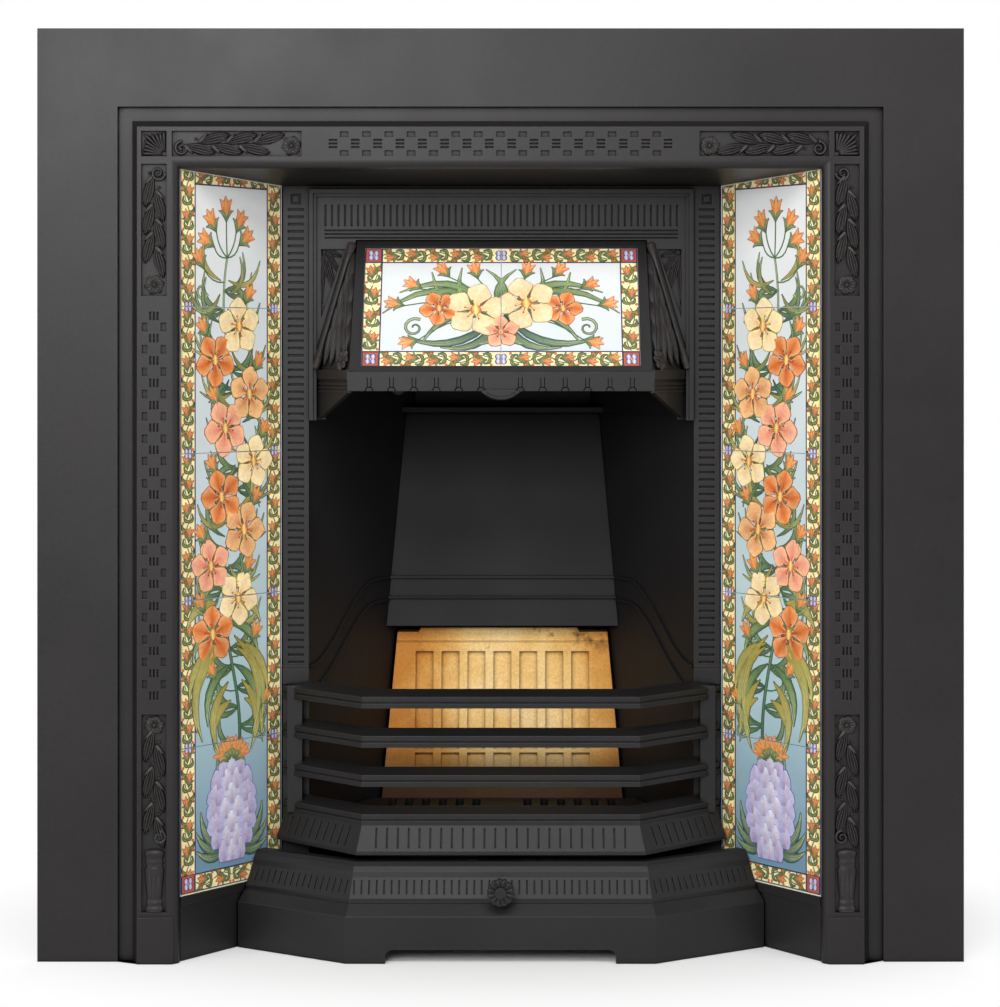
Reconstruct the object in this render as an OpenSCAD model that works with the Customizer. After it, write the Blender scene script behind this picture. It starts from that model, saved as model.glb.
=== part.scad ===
// Cast iron tiled fireplace insert with hood, damper, brick back, front bars and loose ashpit cover.
// X runs to the right, Y runs into the wall and Z runs up.  The model stands on Z = 0.

/* [Surround] */
// Overall width of the surround plate
overall_w = 958; // [940:1:980]
// Overall height of the surround plate
overall_h = 965; // [955:1:980]
// Height of the plain margin over the frame
margin_top = 81; // [76:1:86]
// Wall of the surround plate
plate_t = 6; // [5:0.5:8]
// Depth of the rim that stands the plate off the wall
rim_d = 17; // [17:0.5:24]

/* [Moulded frame] */
// Width of the moulded frame
frame_outer_w = 790; // [776:1:796]
// Width of the sunk band next to the plate
recess_w = 13.4; // [10:0.2:16]
// Width of the bevel between the band and the face
bevel_w = 7.2; // [5:0.2:9]
// Width of the flat face that carries the ornament
face_w = 35; // [32:0.5:38]
// Radius of the rounded inner edge
inner_r = 8; // [5:0.5:9]
// How far the face stands in front of the surround plate
face_proud = 10; // [7:0.5:12]
// Wall of the frame casting
frame_wall = 6; // [5:0.5:6.5]
// Pitch of the chequer columns
chequer_pitch = 11.5; // [11:0.1:14]
// Number of chequer columns over the opening
head_columns = 31; // [15:2:31]
// Number of chequer columns on each stile
stile_columns = 35; // [17:2:35]
// Depth of the sunk ornament panels
panel_depth = 3; // [1.5:0.5:3.5]

/* [Tiles] */
// Side of a square tile
tile_size = 152.4; // [148:0.2:154]
// Thickness of a tile
tile_t = 8; // [6:0.5:10]
// Joint between neighbouring tiles
tile_joint = 0.4; // [0.3:0.1:1]
// Strip of each tile that the castings hide at the sides of the cheeks
tile_cover = 1.2; // [0.8:0.1:1.6]
// Height of the lowest tile edge over the hearth
tile_base_z = 66.5; // [62:0.5:80]
// Number of tiles in each cheek
tile_rows = 5; // [5:1:5]

/* [Cheeks and inner frame] */
// How far each cheek narrows the opening
cheek_run = 92.8; // [90:0.2:96]
// Wall of the cheek casting
cheek_wall = 5; // [4:0.5:6]
// Width of the upright strips of the inner frame
strip_w = 28; // [26:0.5:30]
// Wall of the inner frame
inner_frame_t = 8; // [7:0.5:10]
// Pitch of the ladder grooves on the strips
ladder_pitch = 7.9; // [7:0.1:10]
// Fall of the soffit from the opening to the inner frame
soffit_fall = 9; // [6:0.5:14]

/* [Hood] */
// Height of the hood surround below the top edge of the hood
hood_surround_h = 194; // [188:1:198]
// Height of the frieze over the top edge of the hood
frieze_h = 56.4; // [54:0.2:58]
// Height of the leaning hood front, straight up
hood_rise = 144.5; // [143:0.5:147]
// Lean of the hood front from the vertical
hood_lean = 30; // [28:0.5:31]
// Width of the hood front
hood_w = 318; // [316:1:322]
// Height of the window over the tiles, along the lean
hood_window_h = 148; // [140:1:150]
// Width of the window over the tiles
hood_window_w = 294; // [285:1:300]
// Height of the lip under the hood front
lip_h = 17; // [12:1:20]
// Width of the half-round tab in the middle of the lip
tab_w = 42; // [34:1:46]
// Drop of the tab under the lip
tab_drop = 9.4; // [6:0.2:12]
// Pitch of the keyhole ornaments on the lip
keyhole_pitch = 23.5; // [22:0.1:24]
// Wall of the splayed hood wings
wing_t = 5; // [4:0.5:6]

/* [Damper] */
// Diameter of the hinge pins
pin_d = 8; // [6:0.5:10]
// Clearance of the pins in their ears, on the radius
pin_play = 0.08; // [0.05:0.01:0.1]
// Thickness of the flap
flap_t = 4; // [3:0.5:5]
// Diameter of the knob at the edge of the flap
damper_knob_d = 16; // [12:1:18]
// Gap between the back of the hood front and the flap at rest
flap_gap = 11; // [10:0.5:14]

/* [Fire chamber] */
// Slope of the chamber sides, across per unit of depth
side_slope = 0.46; // [0.44:0.01:0.48]
// Lean of the chamber back from the vertical
back_lean = 10.5; // [9:0.5:12]
// Wall of the chamber castings
chamber_wall = 8; // [6:0.5:9]
// How far the chamber back reaches above the foot of the hood surround
back_lap = 4; // [0:1:10]
// Height of the raised band on the chamber back
band_z = 373; // [360:1:385]
// Width of the raised band
band_w = 26; // [20:1:30]
// Height of the smoke box over the top edge of the hood
smoke_rise = 55; // [52:1:56]
// Depth of the smoke box behind the inner frame
smoke_depth = 230; // [225:1:250]
// Inner width of the flue outlet
flue_w = 190; // [170:1:195]
// Inner depth of the flue outlet
flue_d = 100; // [80:1:105]

/* [Brick and grate] */
// Thickness of the back brick
brick_t = 30; // [25:1:32]
// Height of the back brick
brick_h = 193; // [175:1:197]
// Width of the back brick at its foot
brick_foot_w = 276; // [262:1:278]
// Width of the back brick at its top
brick_top_w = 243; // [230:1:246]
// Height of the top of the bottom grate over the hearth
grate_z = 125; // [120:1:128]
// Thickness of the bottom grate
grate_t = 12; // [10:1:14]
// Pitch of the grate slots
grate_pitch = 18.9; // [17:0.1:20]
// Width of the grate slots
grate_slot_w = 9; // [7:0.5:11]

/* [Front bars] */
// Half the width of the straight front of the bars
bars_front_half = 145.5; // [138:0.5:150]
// How far the bars stand behind the front of the surround plate
bars_front_y = 30; // [28:0.5:36]
// Pitch of the bars
bar_pitch = 41; // [40:0.5:41]
// Height of the lowest bar over the hearth
bar_base_z = 134.5; // [134:0.5:137]
// Depth of a bar
bar_d = 20; // [16:0.5:21]
// Height of the front of a bar
bar_h = 12; // [10:0.5:13]
// Pitch of the flutes on the nose
nose_pitch = 11.3; // [10:0.1:14]

/* [Ashpit cover] */
// Half the width of the straight front of the cover
cover_front_half = 160; // [150:1:165]
// How far the cover stands in front of the surround plate
cover_proud = 8; // [4:1:12]
// Height of the plinth of the cover
plinth_h = 48; // [44:1:50]
// Height of the cover
cover_h = 99; // [96:1:101]
// Wall of the cover casting
cover_wall = 6; // [5:0.5:7]
// Height of the arch under the cover
arch_h = 14; // [10:1:18]
// Width of the arch under the cover
arch_w = 238; // [200:1:250]
// Pitch of the flutes on the cover
cover_pitch = 7.8; // [7:0.1:10]
// Diameter of the knob on the cover
knob_d = 28; // [25:1:32]

/* [Ash pan] */
// Width of the ash pan
pan_w = 236; // [200:1:250]
// Depth of the ash pan from front to back
pan_d = 150; // [130:1:160]
// Height of the ash pan
pan_h = 62; // [50:1:75]
// Sheet thickness of the ash pan
pan_t = 1.5; // [1:0.1:2]

/* [Fasteners and fits] */
// Gap between separate castings
gap = 0.3; // [0.2:0.05:0.4]
// Diameter of the bolts
bolt_d = 6; // [5:0.5:6.5]
// Clearance of the bolts in their holes, on the radius
bolt_play = 0.3; // [0.2:0.05:0.5]
// Diameter of the holes in the wall lugs
lug_hole_d = 9; // [7:0.5:10]
// Width and height of the wall lugs
lug_w = 34; // [30:1:40]

/* [Hidden] */
$fn = 48;
iron = [0.20, 0.19, 0.19];
iron_dark = [0.15, 0.145, 0.15];
steel = [0.55, 0.56, 0.58];
glaze = [0.84, 0.90, 0.92];
buff = [0.80, 0.63, 0.38];

TILE_NODES_LEFT = [for (i = [1:tile_rows]) str("cheek_tile_left_", i)];
TILE_NODES_RIGHT = [for (i = [1:tile_rows]) str("cheek_tile_right_", i)];

// ---- places worked out from the sizes above ----

// moulded frame: n is counted inwards from its outer edge
frame_w = recess_w + bevel_w + face_w + inner_r;
frame_joint = 1;
frame_half = frame_outer_w / 2;
frame_top = overall_h - margin_top - frame_joint;
open_half = frame_half - frame_w;
open_top = frame_top - frame_w;
face_mid = recess_w + bevel_w + face_w / 2;
flange_w = 14;
flange_y = plate_t + gap;
frame_back_y = flange_y + frame_wall;

// tiled cheeks: the face runs from (open_half, cheek_y0) back to (inner_half, inner_y)
cheek_y0 = 1.5;
cheek_visible = tile_size - 2 * tile_cover;
inner_half = open_half - cheek_run;
cheek_dy = sqrt(cheek_visible * cheek_visible - cheek_run * cheek_run);
inner_y = cheek_y0 + cheek_dy;
cheek_angle = atan2(cheek_dy, cheek_run);
tile_pitch = tile_size + tile_joint;
tiles_top_z = tile_base_z + tile_rows * tile_pitch;
cheek_top_z = tiles_top_z + 12;

// inner frame and what it carries
edge_gap = 2.2;
strip_out = inner_half - edge_gap;
strip_in = strip_out - strip_w;
inner_back_y = inner_y + inner_frame_t;
inner_top_z = open_top - soffit_fall + 22;
inner_head_z = open_top - soffit_fall - 3;

// hood front: s runs up the lean from the lower edge, n runs inwards from the front face
hood_top_z = inner_head_z - frieze_h;
hood_foot_z = hood_top_z - hood_surround_h;
wing_foot_z = hood_top_z - hood_rise;
hood_top_y = inner_y - 0.5;
hood_len = hood_rise / cos(hood_lean);
hood_foot_y = hood_top_y - hood_len * sin(hood_lean);
hood_half = hood_w / 2;
lip_z = wing_foot_z - lip_h;
lip_t = 6;
surround_half = strip_in - 2 * gap;
hood_edge_w = 9.5;
wing_out = surround_half - hood_edge_w;
wing_top_half = hood_half - 3;
window_s = hood_len - 8 - hood_window_h;
pocket_n = 2.2;
tile_play = 0.1;
hood_t = pocket_n + tile_play + tile_t + 0.2;
pocket_side = 0.4;
hood_tile_joint = 0.4;
pocket_w = 2 * tile_size + hood_tile_joint + 2 * pocket_side;
pocket_h = tile_size + 2 * pocket_side;
pocket_s = window_s - (pocket_h - hood_window_h) / 2;

// damper flap
flap_n = hood_t + flap_gap;
hinge_s = hood_len - 1;
hinge_y = hood_foot_y + hinge_s * sin(hood_lean) + flap_n * cos(hood_lean);
hinge_z = wing_foot_z + hinge_s * cos(hood_lean) - flap_n * sin(hood_lean);
flap_len = hinge_s - 8;
flap_half = wing_top_half - 14;
ear_t = 8;
ear_gap = 0.5;
flap_swing = 80;
closed_angle = flap_swing - hood_lean;
stop_reach = flap_len - 8;
stop_y = hinge_y + stop_reach * sin(closed_angle);
stop_z = hinge_z - stop_reach * cos(closed_angle) + flap_t / 2 / sin(closed_angle) + 1;
damper_knob_x = 34 - flap_half;
damper_knob_drop = 11;
hood_flange_y = inner_back_y + gap;
hood_flange_t = 4;
hood_flange_half = surround_half - 3;
hood_flange_top = hood_top_z + 24;
ear_foot_y = hood_flange_y + hood_flange_t + gap;
ear_foot_t = 5.5;
ear_foot_z = hood_top_z + 14;

// fire chamber: the sides are upright planes that narrow towards the back
chamber_front_half = strip_in + 0.4;
chamber_front_y = inner_back_y + gap;
back_tan = tan(back_lean);
back_y0 = chamber_front_y + 172;
back_z0 = 368;
side_len = sqrt(1 + side_slope * side_slope);
smoke_back_y = inner_back_y + smoke_depth;
chamber_back_z = hood_foot_z + back_lap;
smoke_foot_z = chamber_back_z + gap;
smoke_top_z = hood_top_z + smoke_rise;
brick_foot_z = grate_z - 6;
brick_face_y = chamber_back_y(brick_foot_z) + 20;
brick_seat_t = 6;
bay_half = brick_foot_w / 2 + 24;
bay_front_y = chamber_back_y(brick_foot_z) - 4;
side_tail = chamber_wall + 17;
bay_top_z = brick_foot_z + brick_h + 4;
bay_wall = 6;
bay_back_y = brick_face_y + brick_h * back_tan + brick_t + 2;
ledge_z = grate_z - grate_t - gap;
step_low_z = 291;
step_run = 151;
flue_y = smoke_back_y - 30 - flue_d / 2 - 14;
flue_wall = 6;
flue_neck = 30;
flue_flange = 22;
flue_bolt_x = flue_w + 2 * flue_wall + flue_flange;
flue_bolt_y = flue_d + 2 * flue_wall + flue_flange;

// front bars and ashpit cover: both are bent round a bay in plan
cheek_out = [cos(cheek_angle), -sin(cheek_angle)];
cheek_out_left = [-cheek_out[0], cheek_out[1]];
bars_end_half = strip_out - 0.4;
bars_end_y = inner_y - 3.5;
bars_path = [[-bars_end_half, bars_end_y], [-bars_front_half, bars_front_y],
             [bars_front_half, bars_front_y], [bars_end_half, bars_end_y]];
bar_top = bar_h + 6;
nose_top_z = bar_base_z + 2.5;
nose_top_n = -1;
nose_flute_z = bar_base_z - 2;
nose_foot_z = 106.5;
nose_flare = 12;
nose_short = 3 * unit([bars_end_half - bars_front_half, bars_end_y - bars_front_y]);
nose_path = [[nose_short[0] - bars_end_half, bars_end_y - nose_short[1]], [-bars_front_half, bars_front_y],
             [bars_front_half, bars_front_y], [bars_end_half - nose_short[0], bars_end_y - nose_short[1]]];
lift_lug_z = [150, 233];
lug_tongue = 7;
cover_end_y = 65;
cover_gap = 2.5;
cover_end_half = open_half - (cover_end_y - cheek_y0) * cheek_run / cheek_dy - cover_gap;
cover_front_y = -cover_proud;
cover_path = [[-cover_end_half, cover_end_y], [-cover_front_half, cover_front_y],
              [cover_front_half, cover_front_y], [cover_end_half, cover_end_y]];
knob_z = 74;
knob_front_y = cover_front_y - 9;
knob_t = 7;
stem_d = 12;
stud_d = 5;
nut_w = 10;
nut_t = 5;

pan_front_y = bars_front_y + 50;

// the origin lies under the middle of the bounding box
front_y = knob_front_y;
back_y = smoke_back_y + chamber_wall;
mid_y = (front_y + back_y) / 2;

// ---- helpers ----

// plan position of the leaning chamber back at height z
function chamber_back_y(z) = back_y0 + (z - back_z0) * back_tan;
// half the width between the chamber sides at depth y
function chamber_half(y) = chamber_front_half - side_slope * (y - chamber_front_y);
function unit(v) = v / norm(v);
function front_normal(d) = [d[1], -d[0]];
// offset direction at point i of a path bent in plan
function mitre(path, i, start, end) =
    let (last = len(path) - 1,
         a = front_normal(unit(path[min(i + 1, last)] - path[min(i, last - 1)])),
         b = front_normal(unit(path[max(i, 1)] - path[max(i - 1, 0)])),
         m = i == 0 ? start : i == last ? end : a + b)
    m / (m * (i == 0 ? a : b));
function signed_area(s) = let (n = len(s))
    [for (k = [0:n - 1]) s[k][0] * s[(k + 1) % n][1] - s[(k + 1) % n][0] * s[k][1]] * [for (k = [1:n]) 0.5];
function clockwise(s) = signed_area(s) < 0 ? s : [for (k = [len(s) - 1:-1:0]) s[k]];
function smooth(t) = t <= 0 ? 0 : t >= 1 ? 1 : t * t * (3 - 2 * t);

// section of [offset, height] points carried along a path with mitred corners
module mitred(path, shape, start, end) {
    section = clockwise(shape);
    n = len(section);
    last = len(path) - 1;
    rings = [for (i = [0:last]) let (v = mitre(path, i, start, end))
             for (s = section) [path[i][0] + s[0] * v[0], path[i][1] + s[0] * v[1], s[1]]];
    walls = [for (i = [0:last - 1]) for (k = [0:n - 1])
             let (a = i * n + k, b = i * n + (k + 1) % n) [a, a + n, b + n, b]];
    polyhedron(rings, concat([[for (k = [0:n - 1]) k]], walls,
                             [[for (k = [n - 1:-1:0]) last * n + k]]));
}

// flat plate between corner points, thickened by t against its outward side
module plate(points, t) {
    n = len(points);
    normal = unit(cross(points[1] - points[0], points[2] - points[0]));
    corners = concat(points, [for (p = points) p - t * normal]);
    polyhedron(corners, concat([[for (k = [n - 1:-1:0]) k]], [[for (k = [0:n - 1]) n + k]],
               [for (k = [0:n - 1]) [k, (k + 1) % n, n + (k + 1) % n, n + k]]));
}

// 2D shape in Y and Z, drawn out to both sides in X
module across(half) {
    translate([-half, 0, 0]) rotate([90, 0, 90]) linear_extrude(2 * half) children();
}

module box(low, high) {
    translate(low) cube(high - low);
}

// everything that follows is drawn with Y = 0 on the surround plate and then centred
module placed(shade) {
    color(shade) translate([0, -mid_y, 0]) children();
}

module both_sides() {
    children();
    mirror([1, 0, 0]) children();
}

// 2D shape in X and Z, pressed into depth from y0 to y1
module upright(y0, y1) {
    translate([0, y1, 0]) rotate([90, 0, 0]) linear_extrude(y1 - y0) children();
}

// hole along Y from the place inwards to the front
module bolt_hole(len) {
    rotate([90, 0, 0]) cylinder(r = bolt_d / 2 + bolt_play, h = len);
}

module hex_bolt(len) {
    cylinder(d = bolt_d, h = len);
    translate([0, 0, -4]) cylinder(d = 1.75 * bolt_d, h = 4, $fn = 6);
}

// ---- surround ----

module surround_bolt_places() {
    for (side = [-1, 1]) {
        for (z = [0.15, 0.5, 0.85]) {
            translate([side * (frame_half + flange_w / 2), 0, z * frame_top]) children();
        }
    }
    for (x = [-0.5, 0.5]) {
        translate([x * frame_half, 0, frame_top + flange_w / 2]) children();
    }
}

module surround_plate() {
    placed(iron) difference() {
        union() {
            upright(0, plate_t) difference() {
                translate([-overall_w / 2, 0]) square([overall_w, overall_h]);
                translate([-frame_half - frame_joint, -1])
                    square([2 * (frame_half + frame_joint), frame_top + frame_joint + 1]);
            }
            upright(plate_t, rim_d) difference() {
                translate([-overall_w / 2, 0]) square([overall_w, overall_h]);
                translate([-overall_w / 2 + plate_t, -1])
                    square([overall_w - 2 * plate_t, overall_h - plate_t + 1]);
            }
        }
        surround_bolt_places() translate([0, plate_t + 1, 0]) rotate([90, 0, 0])
            cylinder(r = bolt_d / 2 + bolt_play, h = 5);
    }
}

module surround_bolts() {
    placed(steel) surround_bolt_places() translate([0, frame_back_y, 0]) rotate([90, 0, 0])
        hex_bolt(frame_back_y - 2.5);
}

// one chequer column: three short bars or a pair of squares, cut into the face
module chequer_column(k) {
    w = 8.6;
    if (k % 2 == 0) {
        for (z = [-3.7, 0, 3.7]) translate([-w / 2, z - 1]) square([w, 2]);
    } else {
        for (z = [-9.7, 9.7]) translate([-w / 2, z - 2.7]) square([w, 5.4]);
    }
}

module chequer_strip(columns) {
    for (k = [0:columns - 1]) {
        translate([(k - (columns - 1) / 2) * chequer_pitch, 0]) chequer_column(k);
    }
}

panel_w = 26;
head_panel = [205, 338.5];
stile_panels = [[53, 257], [688, 824]];
stile_chequer_z = 472;
stile_foot_h = 48;
stile_face_x = frame_half - face_mid;
head_face_z = frame_top - face_mid;

// sunk panels on the left half of the face
module panels() {
    translate([-head_panel[1], head_face_z - panel_w / 2]) square([head_panel[1] - head_panel[0], panel_w]);
    translate([-stile_face_x - panel_w / 2, head_face_z - panel_w / 2]) square(panel_w);
    for (p = stile_panels) {
        translate([-stile_face_x - panel_w / 2, p[0]]) square([panel_w, p[1] - p[0]]);
    }
}

module moulded_frame() {
    back = -flange_y - frame_wall;
    inner_n = frame_w - inner_r;
    section = concat(
        [[-flange_w, -flange_y], [recess_w, -flange_y], [recess_w + bevel_w, face_proud]],
        [for (a = [90:-15:0]) [inner_n + inner_r * cos(a), face_proud - inner_r + inner_r * sin(a)]],
        [[frame_w, 0], [frame_w - frame_wall, 0], [frame_w - frame_wall, face_proud - inner_r],
         [inner_n - 2, face_proud - frame_wall], [recess_w + bevel_w + 3, face_proud - frame_wall],
         [recess_w + 3, back], [-flange_w, back]]);
    outline = [[-frame_half, 0], [-frame_half, frame_top], [frame_half, frame_top], [frame_half, 0]];
    placed(iron) difference() {
        union() {
            rotate([90, 0, 0]) mitred(outline, section, [1, 0], [-1, 0]);
            both_sides() box([-stile_face_x - face_w / 2, -face_proud - 1.5, 0],
                             [-stile_face_x + face_w / 2 + 2, -face_proud + 1, stile_foot_h]);
        }
        upright(-face_proud - 1, -face_proud + 1.8) {
            translate([0, head_face_z]) chequer_strip(head_columns);
            both_sides() translate([-stile_face_x, stile_chequer_z]) rotate(90) chequer_strip(stile_columns);
        }
        both_sides() upright(-face_proud - 1, -face_proud + panel_depth) panels();
        surround_bolt_places() translate([0, frame_back_y + 1, 0]) rotate([90, 0, 0])
            cylinder(r = bolt_d / 2 + bolt_play, h = frame_wall + 2);
        both_sides() lug_frame() lug_bolt_hole(lug_wall + gap + 4);
        cheek_tab_places() bolt_hole(gap + 4);
        soffit_front_places() bolt_hole(gap + 4);
    }
}

// tabs that are bolted behind the frame and the inner frame
tab_x = 110;
tab_t = 4;
tab_half = 12;
frame_tab_y = frame_back_y + gap;
frame_tab_in = 6;
inner_tab_z = open_top - soffit_fall + 15;

module soffit_front_places() {
    for (side = [-1, 1]) translate([side * tab_x, frame_tab_y, frame_top - frame_tab_in]) children();
}

module soffit_rear_places() {
    for (side = [-1, 1]) translate([side * tab_x, inner_y - gap, inner_tab_z]) children();
}

module soffit() {
    placed(iron_dark) difference() {
        union() {
            intersection() {
                across(overall_w / 2)
                    polygon([[gap, open_top + gap], [inner_y - gap, open_top - soffit_fall + gap],
                             [inner_y - gap, open_top - soffit_fall + 6], [frame_wall, open_top + 6],
                             [gap, open_top + 6]]);
                linear_extrude(overall_h) polygon([
                    [-open_half + gap, gap], [open_half - gap, gap],
                    [inner_half - 1, inner_y], [-inner_half + 1, inner_y]]);
            }
            for (side = [-1, 1]) {
                box([side * tab_x - tab_half, frame_tab_y, open_top + 2],
                    [side * tab_x + tab_half, frame_tab_y + tab_t, frame_top - frame_tab_in + tab_half]);
                box([side * tab_x - tab_half, inner_y - gap - tab_t, open_top - soffit_fall + 2],
                    [side * tab_x + tab_half, inner_y - gap, inner_top_z]);
            }
        }
        soffit_front_places() translate([0, tab_t + 1, 0]) bolt_hole(tab_t + 2);
        soffit_rear_places() translate([0, 1, 0]) bolt_hole(tab_t + 2);
    }
}

module soffit_bolts() {
    placed(steel) {
        soffit_front_places() translate([0, tab_t, 0]) rotate([90, 0, 0]) hex_bolt(tab_t + gap + 3.5);
        soffit_rear_places() translate([0, -tab_t, 0]) rotate([-90, 0, 0]) hex_bolt(tab_t + gap + 5);
    }
}

// ---- tiled cheeks, drawn on the right: u runs back along the face, w runs outwards behind it ----

module cheek_frame() {
    translate([open_half, cheek_y0, 0]) rotate(180 - cheek_angle) children();
}

groove_z = 56;

cheek_tab_z = [330, 560];

module cheek_tab_places() {
    for (side = [-1, 1]) {
        for (z = cheek_tab_z) translate([side * (frame_half - frame_tab_in), frame_tab_y, z]) children();
    }
}

module cheek_right_piece() {
    cheek_tray();
    difference() {
        for (z = cheek_tab_z) {
            box([open_half + 4, frame_tab_y, z - tab_half], [frame_half + 4, frame_tab_y + tab_t, z + tab_half]);
        }
        cheek_tab_places() translate([0, tab_t + 1, 0]) bolt_hole(tab_t + 2);
    }
}

module cheek_bolts() {
    placed(steel) cheek_tab_places() translate([0, tab_t, 0]) rotate([90, 0, 0]) hex_bolt(tab_t + gap + 3.5);
}

module cheek_tray() {
    tray_w = cheek_visible + 0.5;
    back_w0 = tile_t + gap;
    cheek_frame() mirror([0, 1, 0]) difference() {
        union() {
            box([-tile_cover - gap, back_w0, 0], [tray_w, back_w0 + cheek_wall, cheek_top_z]);
            box([0.5, 0, 0], [cheek_visible - 1, cheek_wall, tile_base_z - gap]);
            box([0.5, 0, tile_base_z - gap - 6], [cheek_visible - 1, back_w0 + 0.5, tile_base_z - gap]);
            box([0.5, -1, groove_z + 1.5], [cheek_visible - 1, 1, tile_base_z - gap]);
            box([0.5, 0, 0], [6, back_w0 + 0.5, tile_base_z - gap]);
            box([cheek_visible - 7, 0, 0], [cheek_visible - 1, back_w0 + 0.5, tile_base_z - gap]);
        }
        for (u = [0.25, 0.75]) {
            translate([u * cheek_visible, back_w0 - 1, tiles_top_z + 6]) rotate([-90, 0, 0])
                cylinder(r = bolt_d / 2 + bolt_play, h = cheek_wall + 2);
        }
    }
}

module cheek_tile(row) {
    cheek_frame() mirror([0, 1, 0])
        box([-tile_cover, 0, tile_base_z + (row - 1) * tile_pitch],
            [tile_size - tile_cover, tile_t, tile_base_z + (row - 1) * tile_pitch + tile_size]);
}

module tile_keeper() {
    cheek_frame() mirror([0, 1, 0]) difference() {
        box([10, 2, tiles_top_z + 1 - tile_joint], [cheek_visible - 10, tile_t, tiles_top_z + 11]);
        for (u = [0.25, 0.75]) {
            translate([u * cheek_visible, 0, tiles_top_z + 6]) rotate([-90, 0, 0])
                cylinder(r = bolt_d / 2 + bolt_play, h = tile_t + 2);
        }
    }
}

module keeper_screw_set() {
    cheek_frame() mirror([0, 1, 0]) for (u = [0.25, 0.75]) {
        translate([u * cheek_visible, tile_t + gap + cheek_wall, tiles_top_z + 6]) rotate([90, 0, 0])
            hex_bolt(tile_t + cheek_wall - 3);
    }
}

module cheek_left() {
    placed(iron) mirror([1, 0, 0]) cheek_right_piece();
}

module cheek_right() {
    placed(iron) cheek_right_piece();
}

module tile_keeper_left() {
    placed(steel) mirror([1, 0, 0]) tile_keeper();
}

module tile_keeper_right() {
    placed(steel) tile_keeper();
}

module keeper_screws() {
    placed(steel) both_sides() keeper_screw_set();
}

// ---- inner frame ----

ladder_w = 17;
ladder_foot_z = 294;
ladder_count = floor((inner_head_z - 19 - ladder_foot_z) / ladder_pitch);
strip_mid = (strip_in + strip_out) / 2;
step_z = [272, 288];

chamber_bolt_z = 340;
smoke_bolt_z = hood_top_z - 51;

module bolt_pair(z) {
    for (side = [-1, 1]) translate([side * (strip_mid + 4), 0, z]) children();
}

module inner_frame() {
    placed(iron) difference() {
        union() {
            upright(inner_y, inner_back_y) difference() {
                translate([-strip_out, 0]) square([2 * strip_out, inner_top_z]);
                translate([-strip_in, -1]) square([2 * strip_in, inner_head_z + 1]);
            }
            both_sides() box([strip_in, inner_y - 2.5, step_z[0]], [strip_out, inner_y + 1, step_z[1]]);
            both_sides() box([strip_in, inner_y - 1.2, step_z[1] - 1], [strip_out, inner_y + 1, step_z[1] + 4]);
        }
        upright(inner_y - 1, inner_y + 1.8) both_sides() {
            for (k = [0:ladder_count]) {
                translate([strip_mid - ladder_w / 2, ladder_foot_z + k * ladder_pitch]) square([ladder_w, 2.6]);
            }
            translate([strip_mid, inner_head_z - 11]) difference() {
                square(11, center = true);
                square(6, center = true);
            }
        }
        both_sides() for (z = lift_lug_z) {
            box([strip_mid - 5, inner_y - 1, z - gap], [strip_mid + 5, inner_back_y + 1, z + lug_tongue + 26]);
        }
        for (z = [chamber_bolt_z, smoke_bolt_z]) bolt_pair(z) translate([0, inner_back_y + 1, 0]) bolt_hole(5);
        soffit_rear_places() translate([0, gap + 5.5, 0]) bolt_hole(6.5);
    }
}

// ---- hood ----

frieze_z = [hood_top_z + 16, hood_top_z + 39];
frieze_half = surround_half - 16.8;
frieze_pitch = 7.04;
reed_z = [for (k = [0:2]) hood_top_z + 2.5 + 4 * k];

module hood_bolt_places() {
    for (side = [-1, 1]) {
        for (z = [hood_top_z - 111, hood_top_z - 21]) {
            translate([side * (surround_half - 12), 0, z]) children();
        }
    }
}

module hood_opening(grow) {
    polygon([[-wing_top_half - grow, hood_top_z + grow], [wing_top_half + grow, hood_top_z + grow],
             [wing_out + grow, wing_foot_z], [wing_out + grow, hood_foot_z - 5],
             [-wing_out - grow, hood_foot_z - 5], [-wing_out - grow, wing_foot_z]]);
}

module hood_surround() {
    y0 = inner_y - 2;
    top_z = inner_head_z - 2 * gap;
    flutes = floor(2 * frieze_half / frieze_pitch);
    placed(iron) difference() {
        union() {
            upright(y0, inner_back_y) difference() {
                translate([-surround_half, hood_foot_z]) square([2 * surround_half, top_z - hood_foot_z]);
                hood_opening(1);
            }
            upright(y0 - 4, y0 + 1) difference() {
                translate([-surround_half, hood_foot_z]) square([2 * surround_half, top_z - hood_foot_z]);
                translate([-surround_half + 4.5, hood_foot_z - 1])
                    square([2 * surround_half - 9, top_z - hood_foot_z - 3.5]);
            }
            upright(y0 - 2, y0 + 1) difference() {
                translate([-surround_half, hood_foot_z]) square([2 * surround_half, top_z - hood_foot_z]);
                translate([-surround_half + 8, hood_foot_z - 1])
                    square([2 * surround_half - 16, top_z - hood_foot_z - 7]);
            }
            both_sides() {
                box([surround_half - 8, inner_back_y - 1, smoke_bolt_z - tab_half],
                    [surround_half, chamber_front_y + tab_t, smoke_bolt_z + tab_half]);
                box([surround_half - 8, chamber_front_y, smoke_bolt_z - tab_half],
                    [strip_out - 4, chamber_front_y + tab_t, smoke_bolt_z + tab_half]);
            }
        }
        upright(y0 - 1, y0 + 1.6) {
            for (k = [0:flutes]) {
                translate([(k - flutes / 2) * frieze_pitch - 1, frieze_z[0]])
                    square([2, frieze_z[1] - frieze_z[0]]);
            }
            for (z = reed_z) translate([-frieze_half, z]) square([2 * frieze_half, 1.6]);
        }
        upright(y0 - 1, y0 + 2.5) both_sides() polygon([
            [surround_half - 13, hood_top_z - 9], [wing_top_half + 13, hood_top_z - 9],
            [surround_half - 13, hood_top_z - 83]]);
        hood_bolt_places() translate([0, inner_back_y + 1, 0]) bolt_hole(7);
        bolt_pair(smoke_bolt_z) translate([0, chamber_front_y + tab_t + 1, 0]) bolt_hole(tab_t + 2);
    }
}

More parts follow.
